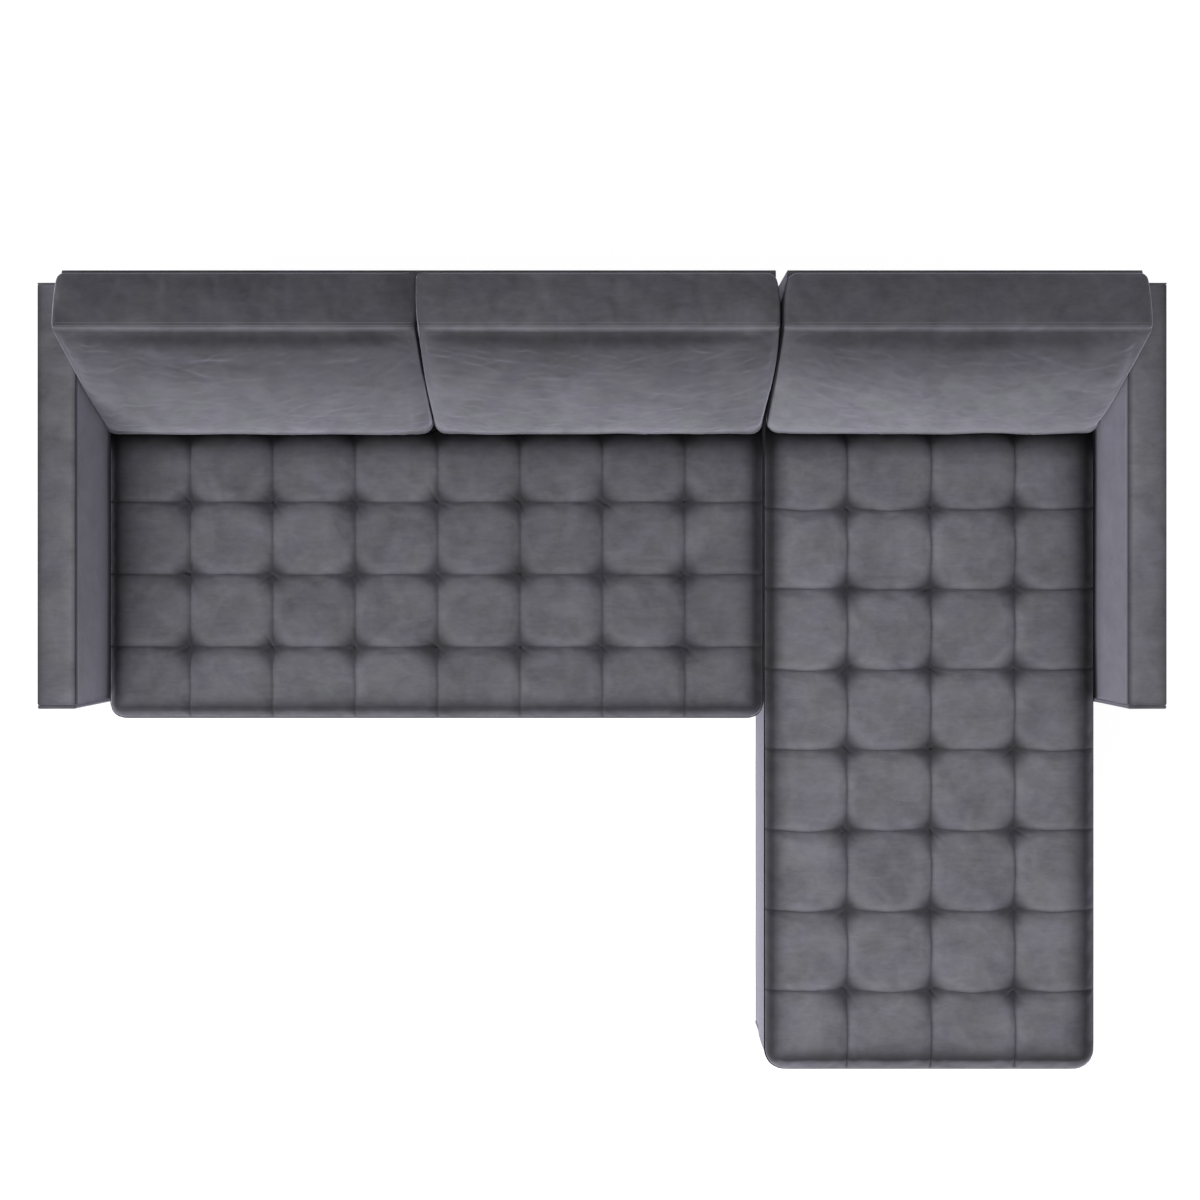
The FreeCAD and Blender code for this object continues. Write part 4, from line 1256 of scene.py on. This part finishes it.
class BackCushion:
    """One back cushion. Its grid runs over the width, the depth and the height: x, s from front to rear and t
    from the foot to the top. Tones are the top panel's tone, the painted light that brightens the face towards
    its foot, and the painted shadow under the top seam."""

    def __init__(self, seat, section, lean, tones, left, right):
        self.seat, self.name = seat, seat + "_wedge_cushion"
        self.lean, self.tones, self.left, self.right = lean, tones, left, right
        self.low, self.high = low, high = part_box(seat + "_back_cushion")
        self.plane = plane = back_plane(section)
        self.top_z = top_z = high.z - back_top_crown
        mean_depth = (back_foot_depth + back_top_depth) / 2
        xs = grid_lines(low.x, high.x, back_cell, back_edge_x)
        rows = grid_lines(0.0, mean_depth, back_cell, back_edge_y) / mean_depth
        x, s, share, faces, _ = block_surface(xs, rows, back_levels)
        t = share - back_gather * np.sin(2 * math.pi * share) / (2 * math.pi)
        side_z = low.z + back_foot_roll + t * (top_z - back_top_roll - low.z - back_foot_roll)
        level_z = np.where(t == 1, top_z, np.where(t == 0, low.z, side_z))
        depth = back_foot_depth + (back_top_depth - back_foot_depth) * (level_z - low.z) / (top_z - low.z)
        over = unit((level_z - plane_top - overhang_start) / (top_z - plane_top - 2 * overhang_start))
        over = over * over * (3 - 2 * over) * back_overhang
        front = plane(level_z) - back_panel_play - depth
        depth = depth + over
        corner = back_top_corner + (back_foot_corner - back_top_corner) * (1 - t) ** 3
        corner = np.where(s < 0.5, corner, back_rear_corner)
        v = s * depth
        outline = (low.x, np.zeros_like(v)), (high.x, depth), corner
        x, v = round_corners(x, v, *outline)
        inside = edge_distance(x, v, *outline)
        self.across = across = 2 * (x - low.x) / (high.x - low.x) - 1
        bulge = bulge_share * (1 - t) ** bulge_foot_power * t**bulge_top_power
        bulge = bulge * (0.35 + 0.65 * (1 - abs(across) ** 3)) * back_face_crown
        y = front + v - bulge * (1 - s) ** 2
        crown = (1 - abs(across) ** 4) * (1 - (2 * s - 1) ** 2) * back_top_crown * crown_share
        flatter = self.side("joined") * 0.7 * unit((abs(across) - joined_from) / joined_over)
        roll = back_top_roll * (1 - flatter)
        z = np.where(t == 1, top_z + crown - rolled(inside, roll, roll), level_z)
        z = np.where(t == 0, low.z + rolled(inside, back_foot_roll, back_foot_roll), z)
        drawn = self.side("draw") * s ** self.side("draw_power") + self.side("pinch") * (1 - s) ** 4 * t**4
        spread = self.side("top") * t + self.side("foot") * (1 - t)
        spread += self.side("swell") * np.sin(math.pi * t**2)
        x = x - across * abs(across) ** 3 * (drawn - spread)
        self.points = np.stack([x, y, z], axis=1)
        self.faces = outwards(self.points, faces)
        self.inside, self.t, self.s = inside, t, s
        self.x_limits = (low.x - left["limit"], high.x + right["limit"])

    def side(self, key):
        """A value of the left or right side at each point, from the side that the point is nearer to."""
        return np.where(self.across < 0, self.left[key], self.right[key])

    def build(self):
        self.piece = mesh_piece(self.name, (self.points, self.faces), velvet)
        t, s, inside = self.t, self.s, self.inside
        top = t == 1
        down = 1 - t
        # Painted shade and light: a shadow band under the top seam, a face that brightens towards the foot and
        # a highlight along the top's rim.
        middle = 1 - abs(self.across) ** self.side("shadow_power")
        wave = ripples(self.points[:, 0], 0 * t, dice(self.name + "_wave"), 0.10, 1.0)
        width = shadow_width + 0.033 * (1 - abs(self.across) ** 4) + 0.009 * wave
        front = front_tone + self.tones[1] * down - self.tones[2] * middle * near(down - shadow_down, width)
        front = (front + 0.12 * (1 - middle)) * (1 - 0.32 * near(down - 0.18, 0.26))
        front += foot_painted_light * near(t, foot_reach)
        joined = self.side("joined") * unit((abs(self.across) - 0.95) / 0.03)
        painted_rim_highlight = rim_painted_highlight * (1 - joined) * near(inside, rim_width, 1)
        tone = np.where(top, self.tones[0] + painted_rim_highlight, np.where(s < 0.05, front, 1.0))
        # Painted shade where a side meets its neighbour, fading off from there.
        beside = unit((abs(self.across) - contact_from) / contact_over)
        beside *= np.where(top & (joined > 0), 0.35 + 0.65 * near(s, 0.2), 1)
        tone *= 1 - beside * (1 - self.side("tone"))
        tone *= 1 - self.side("side_shade") * near(1 - abs(self.across), 0.09)
        shaded(self.piece, np.where(t == 0, underside_tone, tone))
        seam = (abs(self.across) > 0.97) & (s < 0.12)
        hold(self.piece, (t == 0) | (top & (inside < back_sewn_edge)) | (s > 0.97) | seam)

    def finish(self):
        subdivided(self.piece)
        mesh = self.piece.data
        points, normals = positions(mesh), directions(mesh)
        low, high = self.low, self.high
        chance = dice(self.name)
        x, z = points[:, 0], points[:, 2]
        span_x = (low.x + crease_edge, high.x - crease_edge)
        facing = unit(-normals[:, 1] * 1.4 - 0.2) * unit((self.top_z - 0.004 - z) / 0.03)
        folds = np.zeros_like(x)
        for count, foot, head, *size in face_creases:
            folds += creases(x, z, chance, count, span_x, (low.z + foot, self.top_z - head), *size, self.lean)
        folds *= unit((np.minimum(x - low.x, high.x - x) - 0.012) / 0.04)
        folds += ripples(x, z, chance, 0.16, face_ripple)
        upper = unit(normals[:, 2] * 2 - 1) * unit((z - self.top_z) / 0.004)
        y_low = self.plane(self.top_z) - back_top_depth
        span_y = (y_low + crease_edge, y_low + 0.10)
        streaks = creases(x, points[:, 1], chance, 48, span_x, span_y, 0.024, 0.0056, 0.0007, 0.5)
        streaks += ripples(x, points[:, 1], chance, 0.12, top_ripple)
        points += normals * (folds * facing + streaks * upper)[:, None]
        points[:, 0] = np.clip(points[:, 0], *self.x_limits)
        below = points[:, 2] < plane_top
        limit = self.plane(points[:, 2]) - back_panel_play * 0.6
        points[:, 1] = np.where(below, np.minimum(points[:, 1], limit), points[:, 1])
        points[:, 2] = np.clip(points[:, 2], low.z, high.z)
        place_points(mesh, points)
        fitted(self.piece, self.seat + "_back", "velvet", self.seat + "_back_cushion")
        self.topstitch(y_low)

    def topstitch(self, y_low):
        """Two rows of thread laid on the top just behind its front edge."""
        surface = BVHTree.FromObject(self.piece, bpy.context.evaluated_depsgraph_get())
        runs = []
        for behind in stitch_rows:
            run = []
            for x in np.linspace(self.low.x + stitch_ends, self.high.x - stitch_ends, stitch_points):
                hit = surface.ray_cast(Vector((x, y_low + behind, self.high.z + 0.1)), Vector((0, 0, -1)))[0]
                run.append((x, y_low + behind, hit.z + 0.0001))
            runs.append(run)
        sizes = {"Spacing": stitch_spacing, "Size": stitch_size, "Finish": thread}
        stitches = grown(self.name + "_topstitch", runs, stitches_along_path, sizes)
        fitted(stitches, self.seat + "_back", "velvet")


def thread_finish():
    finish, place = new_finish("grey_thread")
    ply = place.noise(2200, detail=1.0)
    colour = ply.mix((0.16, 0.16, 0.17), (0.30, 0.29, 0.32))
    return plain_finish(finish, place, colour, 0.55, Normal=ply.bump(0.2, 0.0002))


plane_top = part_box("sofa_outer_back_cover")[1].z
thread = thread_finish()
stitches_along_path = row_tree("stitches_along_path", "GeometryNodeMeshIcoSphere",
                               {"Radius": 1.0, "Subdivisions": 1})
# What the sides of a back cushion do: they are drawn in towards the rear and pinched in at the top front
# corner, or stand out at the top, at the foot and between. Limit is how far they may stand out of the solid.
# The tone and the fading are painted shade where a side touches or faces its neighbour.
free_side = {"draw": 0.0, "draw_power": 2, "pinch": 0.0, "top": 0.0, "foot": 0.0, "swell": 0.0, "joined": 0,
             "shadow_power": 4, "tone": 1.0, "side_shade": 0.0, "limit": 0.0}
arm_side = {**free_side, "draw": 0.012, "swell": -0.002}
touching_side = {**free_side, "joined": 1, "shadow_power": 12}
gap_side = {**free_side, "draw_power": 4, "shadow_power": 12, "tone": 0.15}
backs = [
    BackCushion("left", "sofa", 0.35, (0.61, 0.70, 0.43), left=arm_side,
                right={**touching_side, "tone": 0.20, "side_shade": 0.26}),
    BackCushion("middle", "sofa", 0.0, (0.77, 0.88, 0.39),
                left={**touching_side, "tone": 0.60, "pinch": 0.007},
                right={**gap_side, "draw": 0.012, "swell": 0.004, "side_shade": 0.10, "limit": 0.0035}),
    BackCushion("right", "chaise", -0.35, (0.72, 1.45, 0.29), right=arm_side,
                left={**gap_side, "draw": 0.014, "top": 0.007, "foot": 0.004, "limit": 0.0072}),
]
for back in backs:
    back.build()
inflate([cushion.piece for cushion in seats + backs], pressure=4.0, slack=0.01, limit=0.006)
for cushion in seats + backs:
    cushion.finish()
